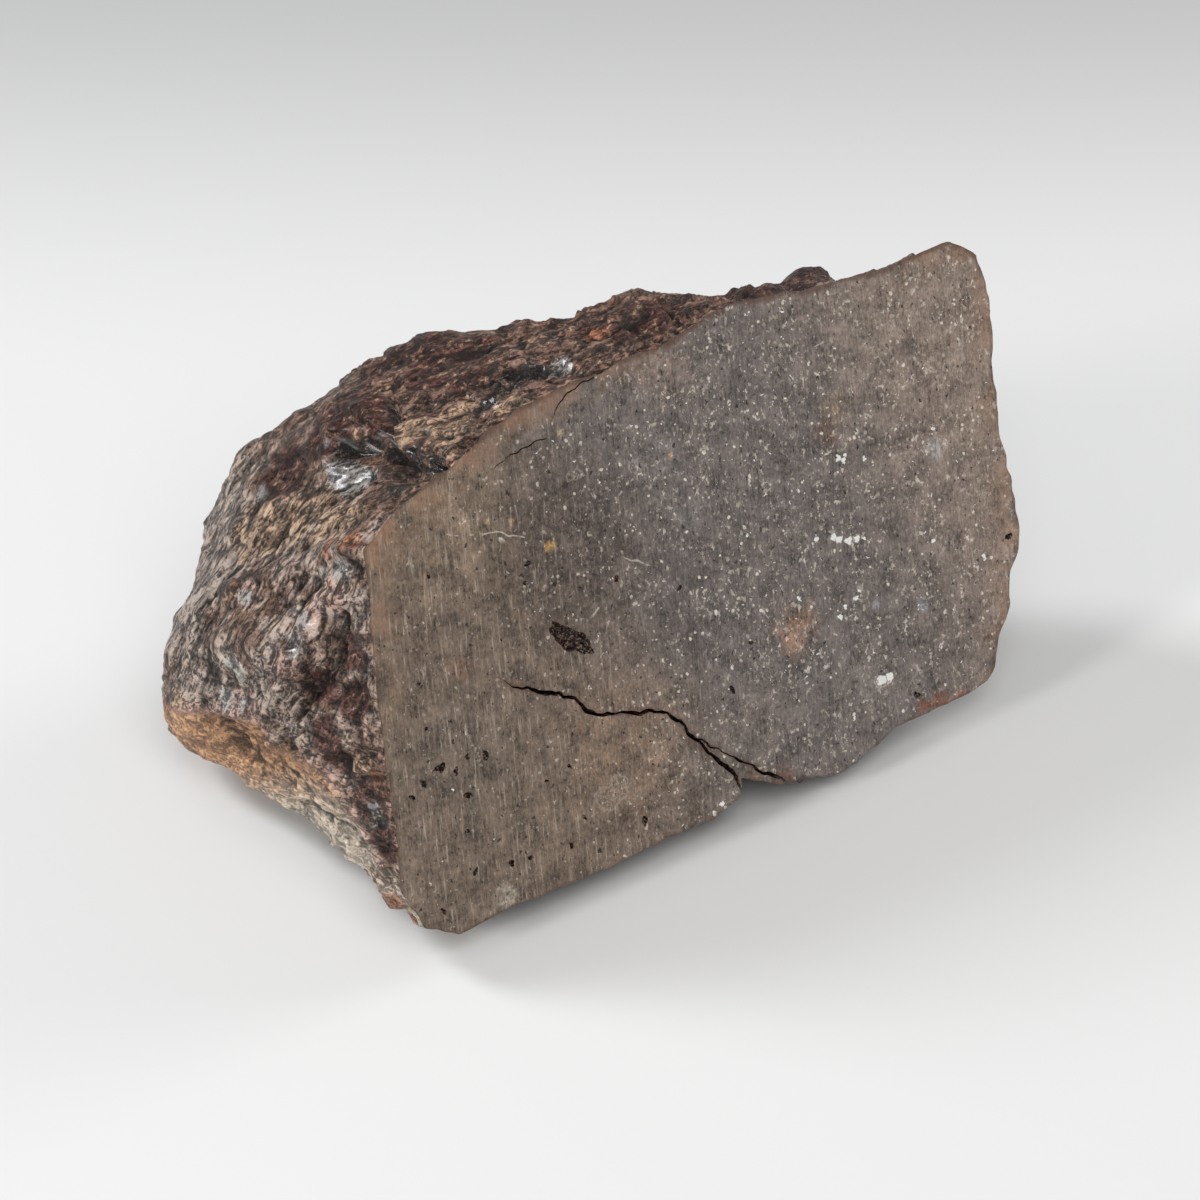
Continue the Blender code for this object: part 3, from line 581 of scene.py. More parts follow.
def sliverCutter():
    # the chip's outline, carried straight through the face
    low, high = ([(*spot, depth) for spot in sliver["outline"]]
                 for depth in (sliver["deep"], -sliver["above"]))
    count = len(low)
    sides = gridFaces(2, count)[:, ::-1].tolist()
    faces = sides + [list(range(count)), list(reversed(range(count, 2 * count)))]
    return makeMesh("sliverCutter", toSpace(np.array(low + high)), faces)


def cutOpenings(stone, wallMaterial):
    seeds = [crackWalls["firstSeed"] + crackWalls["seedStep"] * number for number in range(len(openings))]
    cutters = [crackCutter(name + "Cutter", seed=seed, **opening)
               for seed, (name, opening) in zip(seeds, openings.items())]
    cutters += [sliverCutter(), hollowCutter()]
    stone.data.materials.append(wallMaterial)
    wallSlot = len(stone.data.materials) - 1
    for cutter in cutters:
        for material in stone.data.materials:
            cutter.data.materials.append(material)
        slots = np.full(len(cutter.data.polygons), wallSlot, np.int32)
        cutter.data.polygons.foreach_set("material_index", slots)
        orient(cutter)
        cut = stone.modifiers.new(cutter.name, "BOOLEAN")
        cut.operation, cut.solver, cut.object = "DIFFERENCE", "EXACT", cutter
    graph = bpy.context.evaluated_depsgraph_get()
    carved = bpy.data.meshes.new_from_object(stone.evaluated_get(graph))
    stone.modifiers.clear()
    stone.data = carved
    for cutter in cutters:
        bpy.data.objects.remove(cutter, do_unlink=True)
    print("openings cut:", len(carved.vertices), "points,", len(carved.polygons), "faces")


def orient(thing):
    # turn a closed cutter's faces to point out
    shape = bmesh.new()
    shape.from_mesh(thing.data)
    bmesh.ops.recalc_face_normals(shape, faces=shape.faces)
    shape.to_mesh(thing.data)
    shape.free()


# Attributes that the materials read. How hollow each spot is comes from smoothing the mesh, a
# little and a lot: how many rounds, and the depth in millimetres that counts as 1
hollowness = dict(crevice=(4, 0.06), hollow=(30, 0.35))

# below the ridge: how soft its upper border is, and where it fades out to the right
underRidge = dict(edge=0.5, fadeFrom=-20.0, fadeOver=4.0)

# the pale, painted highlight along the ridge's crest, with size, amount and seed of its wander, and how
# wide the seams are painted near black as shade, in half widths: reach / narrowing
lip = dict(reach=1.3, halfWidth=0.6, wander=(1.2, 0.25, 133))
seamPaint = dict(reach=1.25, narrowing=1.6)

patches = dict(
    # middle (right, up, depth) and radius; each list is one kind of surface
    tan=[((-32.0, 1.6, 20.2), 1.8), ((-24.6, 8.7, 3.2), 1.2),
         ((-23.3, 12.0, 16.6), 3.0), ((-21.8, 12.6, 12.6), 3.2), ((-21.2, 12.5, 7.6), 2.8),
         ((-21.4, 12.8, 4.0), 2.2), ((-14.0, 16.4, 7.7), 1.6), ((-12.9, 16.6, 6.2), 2.0),
         ((-12.6, 16.2, 3.5), 2.2), ((-14.4, 15.8, 1.6), 1.5), ((-10.1, 16.2, 5.8), 1.5),
         ((-26.5, -2.9, 2.2), 1.1), ((-9.0, 16.6, 1.0), 1.6)],
    ash=[((-29.3, 4.2, 12.6), 1.9)],
    # black shards on the crown and dark glossy crust low on the flank, and black painted as shade into
    # the crevice and the recess at the upper left
    black=[((-16.5, 15.7, 12.6), 1.3), ((-15.5, 15.6, 11.1), 1.3), ((-14.4, 14.8, 9.4), 1.3),
           ((-15.4, 14.7, 4.6), 1.8), ((-14.8, 14.3, 2.1), 1.4), ((-17.8, 13.9, 2.5), 1.5),
           ((-15.8, 13.8, 5.4), 1.4), ((-9.6, 16.7, 3.2), 1.4), ((-7.7, 16.9, 4.5), 2.1),
           ((-6.2, 17.1, 4.9), 2.0), ((-4.4, 17.2, 5.0), 1.7), ((-12.4, 17.5, 11.6), 1.0),
           ((-26.9, -6.6, 1.3), 1.2)],
    rust=[((-22.9, 11.0, 5.0), 1.0), ((-22.7, 11.6, 1.8), 1.2), ((-27.1, -11.6, 3.0), 1.4),
          ((-27.2, -12.8, 1.9), 1.4), ((-26.2, -14.4, 1.6), 1.2), ((-26.9, 9.4, 13.9), 0.5),
          ((-28.0, 7.3, 12.4), 0.5), ((-27.8, 0.4, 7.6), 0.7), ((-26.0, -3.9, 1.2), 0.8),
          ((0.6, 18.4, 5.0), 1.0), ((-4.2, 18.8, 10.0), 1.4), ((24.0, -13.5, 3.0), 3.0),
          ((-31.8, 1.0, 22.4), 1.2)],
    wine=[((-15.3, 17.7, 13.7), 3.4), ((-14.7, 17.0, 11.0), 1.8), ((-16.8, 16.8, 14.6), 3.0),
          ((-8.0, 20.0, 16.6), 3.6), ((-6.6, 19.9, 14.0), 3.4), ((-5.0, 18.9, 11.0), 3.2),
          ((-9.1, 18.6, 11.8), 2.8), ((-8.2, 17.9, 7.8), 1.8), ((-19.4, 14.8, 17.2), 3.4),
          ((-24.8, 4.6, 2.4), 2.0), ((-25.8, 1.8, 5.0), 2.2), ((-25.4, 1.4, 2.1), 2.2),
          ((-27.3, -0.4, 4.2), 2.0), ((-26.6, -2.0, 4.0), 1.8), ((-26.8, -5.6, 1.8), 2.2),
          ((-27.0, -8.4, 1.2), 1.6), ((2.2, 18.6, 5.2), 3.0), ((5.6, 18.4, 3.0), 2.6),
          ((12.0, 17.8, 3.0), 4.0), ((18.0, 17.0, 5.2), 4.5)],
    pink=[((-24.5, 9.0, 4.0), 1.6), ((-24.8, 8.4, 2.4), 1.3), ((-25.6, 7.6, 5.4), 1.5),
          ((-26.4, 6.4, 6.2), 1.4), ((-27.4, 4.4, 7.6), 1.3), ((-28.2, 2.6, 8.6), 1.1),
          ((-29.6, 1.4, 13.6), 1.4), ((-26.8, 8.5, 12.9), 1.4)],
    slate=[((-29.4, 6.2, 20.1), 4.4), ((-27.5, 8.5, 20.5), 4.6), ((-25.0, 10.6, 21.0), 4.6),
           ((-28.5, 2.8, 25.6), 4.6), ((-30.4, 4.0, 17.6), 3.6), ((-21.7, 13.3, 24.8), 4.6),
           ((5.0, 6.0, 22.0), 9.0)],
    # glossier places, also painted a lighter grey as a sheen
    gloss=[((-17.9, 14.8, 11.2), 1.6), ((-17.7, 13.9, 9.6), 1.5), ((-16.8, 13.8, 8.7), 0.8),
           ((-24.0, 9.7, 5.4), 1.0), ((-23.6, 10.1, 2.7), 1.0), ((-26.1, 7.0, 5.9), 1.1),
           ((-26.6, 5.6, 6.4), 1.1), ((-29.7, 1.6, 15.2), 1.1), ((-29.3, 1.3, 12.8), 0.9),
           ((-27.0, 8.5, 13.0), 0.9), ((-21.3, 13.5, 18.6), 0.6), ((-29.3, 4.2, 12.6), 1.4),
           ((-3.2, 17.2, 4.2), 1.4), ((-5.2, 17.2, 5.0), 1.0), ((-26.9, -6.0, 1.4), 0.9)],
)


# how far past its radius a patch reaches, and size, amount and seed of its border's wander
patchBorder = dict(reach=1.25, wander=[(1.6, 0.30, 131), (0.7, 0.18, 132)])
staysUnderRidge = ("rust", "black")      # the patches that also lie below the ridge


def patchMask(points, spots, wander):
    # 1 near the middle of the nearest spot, falling smoothly to 0 around its radius, with a
    # border that wanders
    mask = np.zeros(len(points))
    for middle, radius in spots:
        gap = np.linalg.norm(points - np.array(middle), axis=1) / radius
        mask = np.maximum(mask, smoothStep(patchBorder["reach"] - gap + wander))
    return mask


def readArray(things, field, width, kind=float):
    values = np.empty(len(things) * width, dtype=kind)
    things.foreach_get(field, values)
    return values.reshape(-1, width)


def paintAttributes(stone):
    mesh = stone.data
    spots = readArray(mesh.vertices, "co", 3)
    normals = readArray(mesh.vertices, "normal", 3)
    edges = readArray(mesh.edges, "vertices", 2, np.int32)
    ends = np.concatenate([edges[:, 0], edges[:, 1]])
    others = np.concatenate([edges[:, 1], edges[:, 0]])
    share = np.bincount(ends, minlength=len(spots))
    points = toFace(spots)
    flat = points[:, :2]
    masks, smoothed, done = {}, spots, 0
    for name, (rounds, depth) in hollowness.items():
        for _ in range(rounds - done):
            # each round moves every point to the mean of its neighbours
            smoothed = np.stack([np.bincount(ends, smoothed[others, axis], len(spots)) / share
                                 for axis in range(3)], axis=-1)
        done = rounds
        sunk = ((smoothed - spots) * normals).sum(axis=1) / mm
        masks[name] = np.clip(sunk / depth, -1.0, 1.0)
    ridgeSpot, ridgeGap = nearestOnLine(points, form["crests"][0][2])
    below = smoothStep(0.5 + (ridgeSpot - points)[:, 1] / underRidge["edge"])
    under = below * smoothStep((underRidge["fadeFrom"] - points[:, 0]) / underRidge["fadeOver"])
    masks["under"] = under
    # the painted highlight along the ridge's crest
    ridgeHighlightGap = ridgeGap + layeredNoise(points, [lip["wander"]])
    masks["lip"] = smoothStep(lip["reach"] - ridgeHighlightGap / lip["halfWidth"])
    wander = layeredNoise(points, patchBorder["wander"])
    for kind, places in patches.items():
        mask = patchMask(points, places, wander)
        masks[kind] = mask if kind in staysUnderRidge else mask * (1.0 - under)
    masks.update(regionShares(points))
    rim = np.array(form["outline"] + form["outline"][:1])
    masks["rimGap"] = nearestOnLine(flat, rim)[1]
    # the seams' mask, where the crust is painted near black as shade
    seams = [smoothStep(seamPaint["reach"] - seamPaint["narrowing"] * gap) for gap in seamGaps(points)]
    masks["seam"] = np.max(seams, axis=0)
    cracks = [nearestOnLine(flat, openings[name]["line"])[1] for name in ("crack", "branch")]
    masks["crackGap"] = np.minimum(*cracks)
    for name, values in masks.items():
        layer = mesh.attributes.new(name, "FLOAT", "POINT")
        layer.data.foreach_set("value", values.astype(np.float32))
    print("attributes:", ", ".join(masks))


# Shader maths: a wire is one output of a node, and arithmetic on it adds Math nodes

class wire:
    def __init__(self, board, socket):
        self.board, self.socket = board, socket

    def __add__(self, other):
        return self.board.maths("ADD", self, other)

    def __sub__(self, other):
        return self.board.maths("SUBTRACT", self, other)

    def __rsub__(self, other):
        return self.board.maths("SUBTRACT", other, self)

    def __mul__(self, other):
        return self.board.maths("MULTIPLY", self, other)

    __radd__, __rmul__ = __add__, __mul__


class board:
    # a material's node tree, with the ways to add to it
    def __init__(self, name):
        self.material = bpy.data.materials.new(name)
        self.material.use_nodes = True
        self.tree = self.material.node_tree
        self.shader = self.tree.nodes["Principled BSDF"]

    def node(self, kind, settings, sockets, output=0):
        # settings first, because they can change which sockets a node has
        made = self.tree.nodes.new(kind)
        for name, value in settings.items():
            setattr(made, name, value)
        for name, value in sockets.items():
            self.plug(made.inputs[name], value)
        return wire(self, made.outputs[output])

    def plug(self, socket, value):
        if isinstance(value, wire):
            self.tree.links.new(value.socket, socket)
        elif socket.type == "RGBA":
            socket.default_value = (*value, 1.0)
        else:
            socket.default_value = value

    def finish(self, **sockets):
        # the shader's own sockets, named in camelCase
        for name, value in sockets.items():
            spaced = "".join(" " + letter if letter.isupper() else letter for letter in name)
            self.plug(self.shader.inputs[spaced[0].upper() + spaced[1:]], value)
        return self.material

    def maths(self, operation, *values):
        return self.node("ShaderNodeMath", dict(operation=operation), dict(enumerate(values)))

    def vector(self, operation, first, second, output=0):
        return self.node("ShaderNodeVectorMath", dict(operation=operation), {0: first, 1: second}, output)

    def distance(self, place, middle):
        return self.vector("DISTANCE", place, (*middle, 0.0), "Value")

    def scaled(self, vector, amount):
        return self.node("ShaderNodeVectorMath", dict(operation="SCALE"), {0: vector, "Scale": amount})

    def attribute(self, name):
        return self.node("ShaderNodeAttribute", dict(attribute_name=name), {}, "Fac")

    def band(self, value, low, high, bottom=0.0, top=1.0):
        # smooth rise from bottom to top while the value goes from low to high
        return self.node("ShaderNodeMapRange", dict(interpolation_type="SMOOTHSTEP"), {
            "Value": value, "From Min": low, "From Max": high, "To Min": bottom, "To Max": top})

    def noise(self, place, scale, detail, rough, twist=0.0):
        # noise stays mostly between 0.3 and 0.7
        return self.node("ShaderNodeTexNoise", {}, {
            "Vector": place, "Scale": scale, "Detail": detail, "Roughness": rough,
            "Distortion": twist}, "Fac")

    def cells(self, place, scale):
        # distance to the nearest of a scatter of points, and a random number for that point
        settings, sockets = dict(feature="F1"), {"Vector": place, "Scale": scale}
        near = self.node("ShaderNodeTexVoronoi", settings, sockets, "Distance")
        own = wire(self, near.socket.node.outputs["Color"])
        return near, self.node("ShaderNodeSeparateColor", {}, {"Color": own}, "Red")

    def mix(self, factor, first, second):
        # for colours, the Mix node's inputs 6 and 7, and output 2
        return self.node("ShaderNodeMix", dict(data_type="RGBA"), {0: factor, 6: first, 7: second}, 2)

    def bump(self, height, distance, strength=1.0):
        return self.node("ShaderNodeBump", {}, {
            "Height": height, "Distance": distance, "Strength": strength})


def colour(red, green, blue):
    # a colour as seen on screen, 0 to 255, to the linear values that the shader takes
    seen = np.array([red, green, blue]) / 255.0
    return tuple(np.where(seen <= 0.04045, seen / 12.92, ((seen + 0.055) / 1.055) ** 2.4).tolist())


def faceCoordinates(paint):
    # the Object coordinates as millimetres to the right, up and out from the face's middle, and
    # the first two of these on their own
    place = paint.node("ShaderNodeTexCoord", {}, {}, "Object")
    away = paint.vector("SUBTRACT", place, tuple(faceMiddle * mm))
    parts = [paint.vector("DOT_PRODUCT", away, tuple(axis / mm), "Value")
             for axis in (faceRight, faceUp, faceNormal)]
    return paint.node("ShaderNodeCombineXYZ", {}, dict(enumerate(parts))), parts[0], parts[1]


def wandered(paint, place, scale, amount):
    # places pushed about by noise, so that what is drawn on them has uneven borders
    sockets = {"Vector": place, "Scale": scale, "Detail": 2.0}
    loose = paint.node("ShaderNodeTexNoise", {}, sockets, "Color")
    push = paint.scaled(paint.vector("SUBTRACT", loose, (0.5, 0.5, 0.5)), amount)
    return paint.vector("ADD", place, push)


def drawnOut(paint, place, along, factor):
    # the same as stretched, for a shader: noise on the result runs along one direction
    along = np.array(along) * np.array([1.0, 1.0, -1.0]) / np.linalg.norm(along)
    travel = paint.vector("DOT_PRODUCT", place, tuple(along), "Value") * (1.0 / factor - 1.0)
    return paint.vector("ADD", place, paint.scaled(tuple(along), travel))


sawn = dict(
    warm=colour(113, 97, 84), cool=colour(106, 97, 93), blush=colour(134, 118, 107),
    dark=colour(66, 56, 51), pale=colour(176, 164, 150), light=colour(218, 208, 194),
    # pit is the near black painted in small pits as the shade inside them
    metal=colour(252, 250, 245), pit=colour(26, 19, 16), rust=colour(156, 116, 88),
    brown=colour(88, 62, 48),
    # where the warm left turns cool, and where the cool middle turns pale and pink, in mm
    toCool=(-13.0, 1.0), toBlush=(12.0, 27.0),
    sawTurn=math.radians(-12.0),
    # how borders wander: scale of the noise and how far it pushes, in mm
    wander=dict(tone=(0.28, 7.0), stains=(0.5, 3.0), stainEdges=(2.4, 0.6), small=(2.4, 0.55),
                flecks=(3.2, 0.55), grains=(1.2, 0.5), dots=(3.0, 0.25), scratches=(0.6, 0.8)),
    # layers of noise: how fine it is across and along the saw marks, its detail and roughness
    layers=dict(streaks=(3.0, 0.25, 4.0, 0.7), hairs=(6.5, 0.5, 3.0, 0.7), grain=(4.4, 2.6, 4.0, 0.78),
                flakes=(2.6, 1.9, 4.0, 0.62), crumbs=(5.4, 3.4, 3.0, 0.6), pits=(2.5, 1.9, 3.0, 0.6)),
    # how much each of these changes the tone, and the darkest that it gets
    tones=dict(grain=2.8, streaks=1.5, hairs=1.3, blotch=2.4), darkest=0.25,
    # the noise values between which each kind goes from absent to full
    hairsAt=(1.10, 1.24), flakesAt=(0.705, 0.735), crumbsAt=(0.735, 0.785), pitsAt=(0.362, 0.330),
    metalAt=(0.770, 0.785),
    # how strongly each kind shows
    shown=dict(hairs=0.6, chondrules=0.2, flakes=0.8, crumbs=0.5, pits=0.9, rust=0.7, rim=0.75,
               crack=0.55, metallic=0.6),
    # relief in millimetres, and how much of it each layer makes
    relief=0.03, reliefOf=dict(streaks=0.5, hairs=0.3, grain=0.6, pits=1.5), roughness=(0.42, 0.62),
    # soft stains: (right, up), radius, colour as seen, strength; those with a radius over
    # raggedAbove get a more ragged border
    raggedAbove=1.5,
    stains=[((0.0, 9.8), 1.9, (136, 130, 128), 0.40), ((1.6, 5.6), 1.7, (132, 127, 126), 0.35),
            ((-12.0, 2.4), 3.4, (96, 82, 70), 0.45), ((-20.0, -4.0), 4.2, (98, 88, 80), 0.40),
            ((8.0, -8.0), 3.2, (98, 92, 92), 0.30), ((20.0, 12.0), 4.0, (140, 126, 114), 0.35),
            ((-15.0, -13.0), 3.8, (122, 103, 86), 0.40), ((-8.0, 6.2), 6.4, (72, 61, 55), 0.85),
            ((-0.2, -0.7), 4.4, (86, 77, 75), 0.55), ((4.0, -3.0), 3.0, (92, 84, 82), 0.40),
            ((-7.9, -8.4), 5.2, (142, 116, 95), 0.60), ((-17.0, 11.6), 5.6, (136, 116, 96), 0.60),
            ((7.3, -5.4), 1.7, (164, 122, 92), 0.60), ((6.9, -6.8), 1.2, (160, 120, 92), 0.45),
            ((-18.3, 1.2), 1.0, (128, 86, 70), 0.50), ((14.0, 6.8), 1.2, (94, 66, 50), 0.75),
            ((15.3, 8.4), 1.6, (152, 128, 104), 0.45), ((22.3, 2.6), 0.85, (158, 158, 160), 0.70),
            ((17.9, -7.8), 0.6, (140, 142, 150), 0.65), ((14.1, -6.4), 0.5, (152, 152, 158), 0.55),
            ((-20.0, -15.0), 0.9, (186, 174, 158), 0.85), ((-9.4, 6.7), 0.42, (206, 160, 92), 0.95),
            ((-6.3, 13.9), 0.30, (210, 184, 134), 0.95), ((1.4, 9.5), 0.24, (196, 156, 104), 0.90),
            ((-13.3, 10.0), 0.24, (190, 160, 116), 0.90), ((-11.7, 9.3), 0.22, (180, 150, 110), 0.85),
            ((-12.8, 8.4), 0.24, (226, 220, 208), 0.90), ((15.8, -14.9), 0.7, (120, 68, 44), 0.80),
            ((17.2, -15.2), 0.95, (140, 82, 54), 0.80), ((18.8, -15.5), 0.8, (136, 80, 54), 0.75),
            ((2.6, -10.5), 3.2, (128, 116, 107), 0.50), ((11.2, -11.4), 3.6, (130, 120, 113), 0.50),
            ((25.0, -7.5), 3.8, (146, 128, 116), 0.50), ((2.8, 15.4), 2.6, (146, 124, 111), 0.60),
            ((3.0, -15.6), 1.2, (94, 56, 40), 0.80), ((1.0, -14.4), 0.8, (100, 64, 46), 0.70)],
    # round grains with a pale ring: (right, up), radius, strength
    rings=[((-10.3, -11.5), 1.05, 0.38), ((-1.6, 9.6), 0.5, 0.35), ((-6.0, 10.6), 0.6, 0.35),
           ((15.6, -13.0), 0.7, 0.30)],
    # scratches: start, end, half width, strength
    scratches=[((-16.6, 10.2), (-13.7, 9.3), 0.045, 0.5), ((-13.7, 9.3), (-11.0, 7.9), 0.045, 0.6),
               ((-4.3, 4.2), (-2.1, 2.4), 0.05, 0.5), ((-7.1, 1.4), (-8.8, 0.4), 0.05, 0.5),
               ((20.3, 5.0), (21.2, 2.9), 0.05, 0.45), ((14.9, 13.0), (16.4, 13.3), 0.05, 0.5)],
    # bright metal flecks that stand out: (right, up), radius
    flecks=[((14.3, 4.7), 0.22), ((14.6, 4.4), 0.20), ((14.9, 4.7), 0.14), ((16.3, 4.0), 0.14),
            ((22.5, 4.1), 0.14), ((10.8, -0.2), 0.20), ((12.2, -0.5), 0.22), ((12.6, -0.8), 0.26),
            ((13.3, -1.2), 0.26), ((14.0, -1.3), 0.22), ((14.6, -1.5), 0.14), ((20.1, -3.7), 0.18),
            ((23.9, -6.3), 0.16), ((8.2, -3.7), 0.16), ((12.7, -5.4), 0.18), ((11.6, -5.6), 0.16),
            ((11.0, -6.2), 0.18), ((12.9, -11.8), 0.34), ((13.6, -11.8), 0.30), ((9.9, -13.6), 0.14),
            ((-2.2, -15.4), 0.20), ((-3.0, -15.8), 0.14)],
)


def segmentGap(paint, place, start, end):
    # distance to a straight run: the foot is start + (end - start) * share, share in 0 to 1
    run = (end[0] - start[0], end[1] - start[1], 0.0)
    away = paint.vector("SUBTRACT", place, (*start, 0.0))
    travel = paint.vector("DOT_PRODUCT", away, run, "Value") * (1.0 / (run[0] ** 2 + run[1] ** 2))
    share = paint.maths("MINIMUM", paint.maths("MAXIMUM", travel, 0.0), 1.0)
    return paint.vector("DISTANCE", away, paint.scaled(run, share), "Value")


def sawnFaceMaterial():
    paint = board("sawnFace")
    place, right, up = faceCoordinates(paint)
    wander, shown = sawn["wander"], sawn["shown"]
    loose = wandered(paint, place, *wander["tone"])
    uneven = wandered(paint, place, *wander["small"])
    ragged = wandered(paint, wandered(paint, place, *wander["stains"]), *wander["stainEdges"])
    torn = wandered(paint, place, *wander["flecks"])
    curved = wandered(paint, place, *wander["scratches"])
    # broad tone: warm to the left, cool in the middle, paler and pinker to the right
    side = paint.vector("DOT_PRODUCT", loose, (1.0, 0.2, 0.0), "Value")
    base = paint.mix(paint.band(side, *sawn["toCool"]), sawn["warm"], sawn["cool"])
    base = paint.mix(paint.band(side, *sawn["toBlush"]), base, sawn["blush"])
    crumble = paint.band(paint.noise(uneven, 1.5, 4.0, 0.7), 0.42, 0.56, 0.3, 1.0)
    for middle, radius, tint, strength in sawn["stains"]:
        gap = paint.distance(ragged if radius > sawn["raggedAbove"] else uneven, middle)
        stain = paint.band(gap, radius * 1.35, radius * 0.35) * crumble * strength
        base = paint.mix(stain, base, colour(*tint))
    # layers of noise along the saw marks, which run a little off upright
    cosine, sine = math.cos(sawn["sawTurn"]), math.sin(sawn["sawTurn"])
    acrossSaw = right * cosine + up * sine
    alongSaw = up * cosine - right * sine
    layer = {}
    for name, (across, along, detail, rough) in sawn["layers"].items():
        sockets = {0: acrossSaw * across, 1: alongSaw * along, 2: 0.0}
        layer[name] = paint.noise(paint.node("ShaderNodeCombineXYZ", {}, sockets), 1.0, detail, rough)
    streaks, hairs, grain = layer["streaks"], layer["hairs"], layer["grain"]
    blotch = paint.noise(uneven, 0.55, 4.0, 0.62)
    # the tone: streaks strongest at the left, finer hairs and grain all over
    sawSide = paint.band(right, 2.0, -19.0, 0.25, 1.0)
    tones = sawn["tones"]
    tone = (grain * tones["grain"] + hairs * tones["hairs"] + blotch * tones["blotch"]
            - 0.5 * (tones["grain"] + tones["hairs"] + tones["blotch"]) + 1.0
            + (streaks - 0.5) * sawSide * tones["streaks"])
    base = paint.scaled(base, paint.maths("MAXIMUM", tone, sawn["darkest"]))
    # bright hairs left by the saw, mostly at the left
    bright = paint.band(streaks + hairs, *sawn["hairsAt"]) * sawSide * shown["hairs"]
    base = paint.mix(bright, base, sawn["pale"])
    # round grains, faint everywhere, with a few that stand out: a ring and bars inside it
    near, own = paint.cells(wandered(paint, place, *wander["grains"]), 0.5)
    inside = paint.band(near - (0.12 + own * 0.26), 0.05, -0.05)
    base = paint.mix(inside * paint.band(own, 0.3, 0.9, 0.0, shown["chondrules"]), base, sawn["dark"])
    for middle, radius, strength in sawn["rings"]:
        gap = paint.distance(ragged, middle)
        ring = paint.band(paint.maths("ABSOLUTE", gap - radius), 0.16, 0.04)
        bars = paint.band(gap, radius, radius * 0.8) * paint.band(grain, 0.50, 0.56)
        base = paint.mix(paint.maths("MAXIMUM", ring, bars) * strength, base, sawn["pale"])
    # light flakes, denser to the right, missing here and there
    crowd = paint.band(right, -18.0, 5.0, 0.0, 0.06) + paint.noise(place, 0.3, 3.0, 0.6) * 0.14
    flakes = paint.band(layer["flakes"] + crowd, *sawn["flakesAt"]) * shown["flakes"]
    crumbs = paint.band(layer["crumbs"] + crowd, *sawn["crumbsAt"]) * shown["crumbs"]
    sparse = paint.band(paint.noise(uneven, 0.42, 3.0, 0.6), 0.40, 0.58, 0.25, 1.0)
    lightness = paint.noise(place, 1.1, 2.0, 0.5)
    tint = paint.mix(paint.band(lightness, 0.47, 0.60), sawn["pale"], sawn["light"])
    base = paint.mix(paint.maths("MAXIMUM", flakes, crumbs) * sparse, base, tint)
    # small bright dots, about two in five of a scatter of points, and small pits painted near black as
    # the shade inside them
    near, own = paint.cells(wandered(paint, place, *wander["dots"]), 2.0)
    dots = paint.band(near - (own * 0.60 - 0.32), 0.03, -0.03) * paint.band(right, -24.0, 4.0, 0.2, 1.0)
    base = paint.mix(dots * paint.band(lightness, 0.42, 0.52, 0.35, 1.0), base, sawn["light"])
    pits = paint.band(layer["pits"], *sawn["pitsAt"])
    base = paint.mix(pits * shown["pits"], base, sawn["pit"])
    # metal: scattered flecks and the listed bright ones
    metal = paint.band(paint.noise(uneven, 1.5, 3.0, 0.6) + crowd * 0.6, *sawn["metalAt"])
    for middle, radius in sawn["flecks"]:
        fleck = paint.band(paint.distance(torn, middle), radius * 1.25, radius * 0.9)
        metal = paint.maths("MAXIMUM", metal, fleck)
    base = paint.mix(metal, base, sawn["metal"])
    for start, end, halfWidth, strength in sawn["scratches"]:
        gap = segmentGap(paint, curved, start, end)
        scratch = paint.band(gap, halfWidth * 1.6, halfWidth * 0.5) * strength
        base = paint.mix(scratch, base, sawn["light"])
    # rust in from the top left and right rims, a thin dark edge all round, and along the crack
    rimGap, crackGap = paint.attribute("rimGap"), paint.attribute("crackGap")
    patchy = paint.noise(uneven, 0.4, 4.0, 0.65)
    topLeft = paint.band(up * 0.8 - right * 0.5, 10.0, 16.0)
    farRight = paint.band(right, 18.0, 25.0, 0.0, 0.6)
    rusty = paint.maths("MAXIMUM", topLeft, farRight) * paint.band(patchy, 0.42, 0.58)
    rusty = paint.band(rimGap + patchy * 4.0, 5.2, 1.8) * rusty * shown["rust"]
    base = paint.mix(rusty, base, sawn["rust"])
    edge = paint.band(rimGap + patchy * 1.2 - paint.band(up, 13.0, 16.0) * 0.25, 0.95, 0.5)
    base = paint.mix(edge * shown["rim"], base, sawn["brown"])
    besideCrack = paint.band(crackGap + patchy * 0.8, 0.75, 0.45) * shown["crack"]
    base = paint.mix(besideCrack, base, sawn["brown"])
    relief = sawn["reliefOf"]
    height = (streaks * sawSide * relief["streaks"] + hairs * relief["hairs"]
              + grain * relief["grain"] - pits * relief["pits"])
    return paint.finish(
        baseColor=base, metallic=metal * shown["metallic"],
        roughness=paint.band(grain + streaks * 0.5, 0.45, 1.0, *sawn["roughness"]),
        normal=paint.bump(height, sawn["relief"] * mm, 0.6))


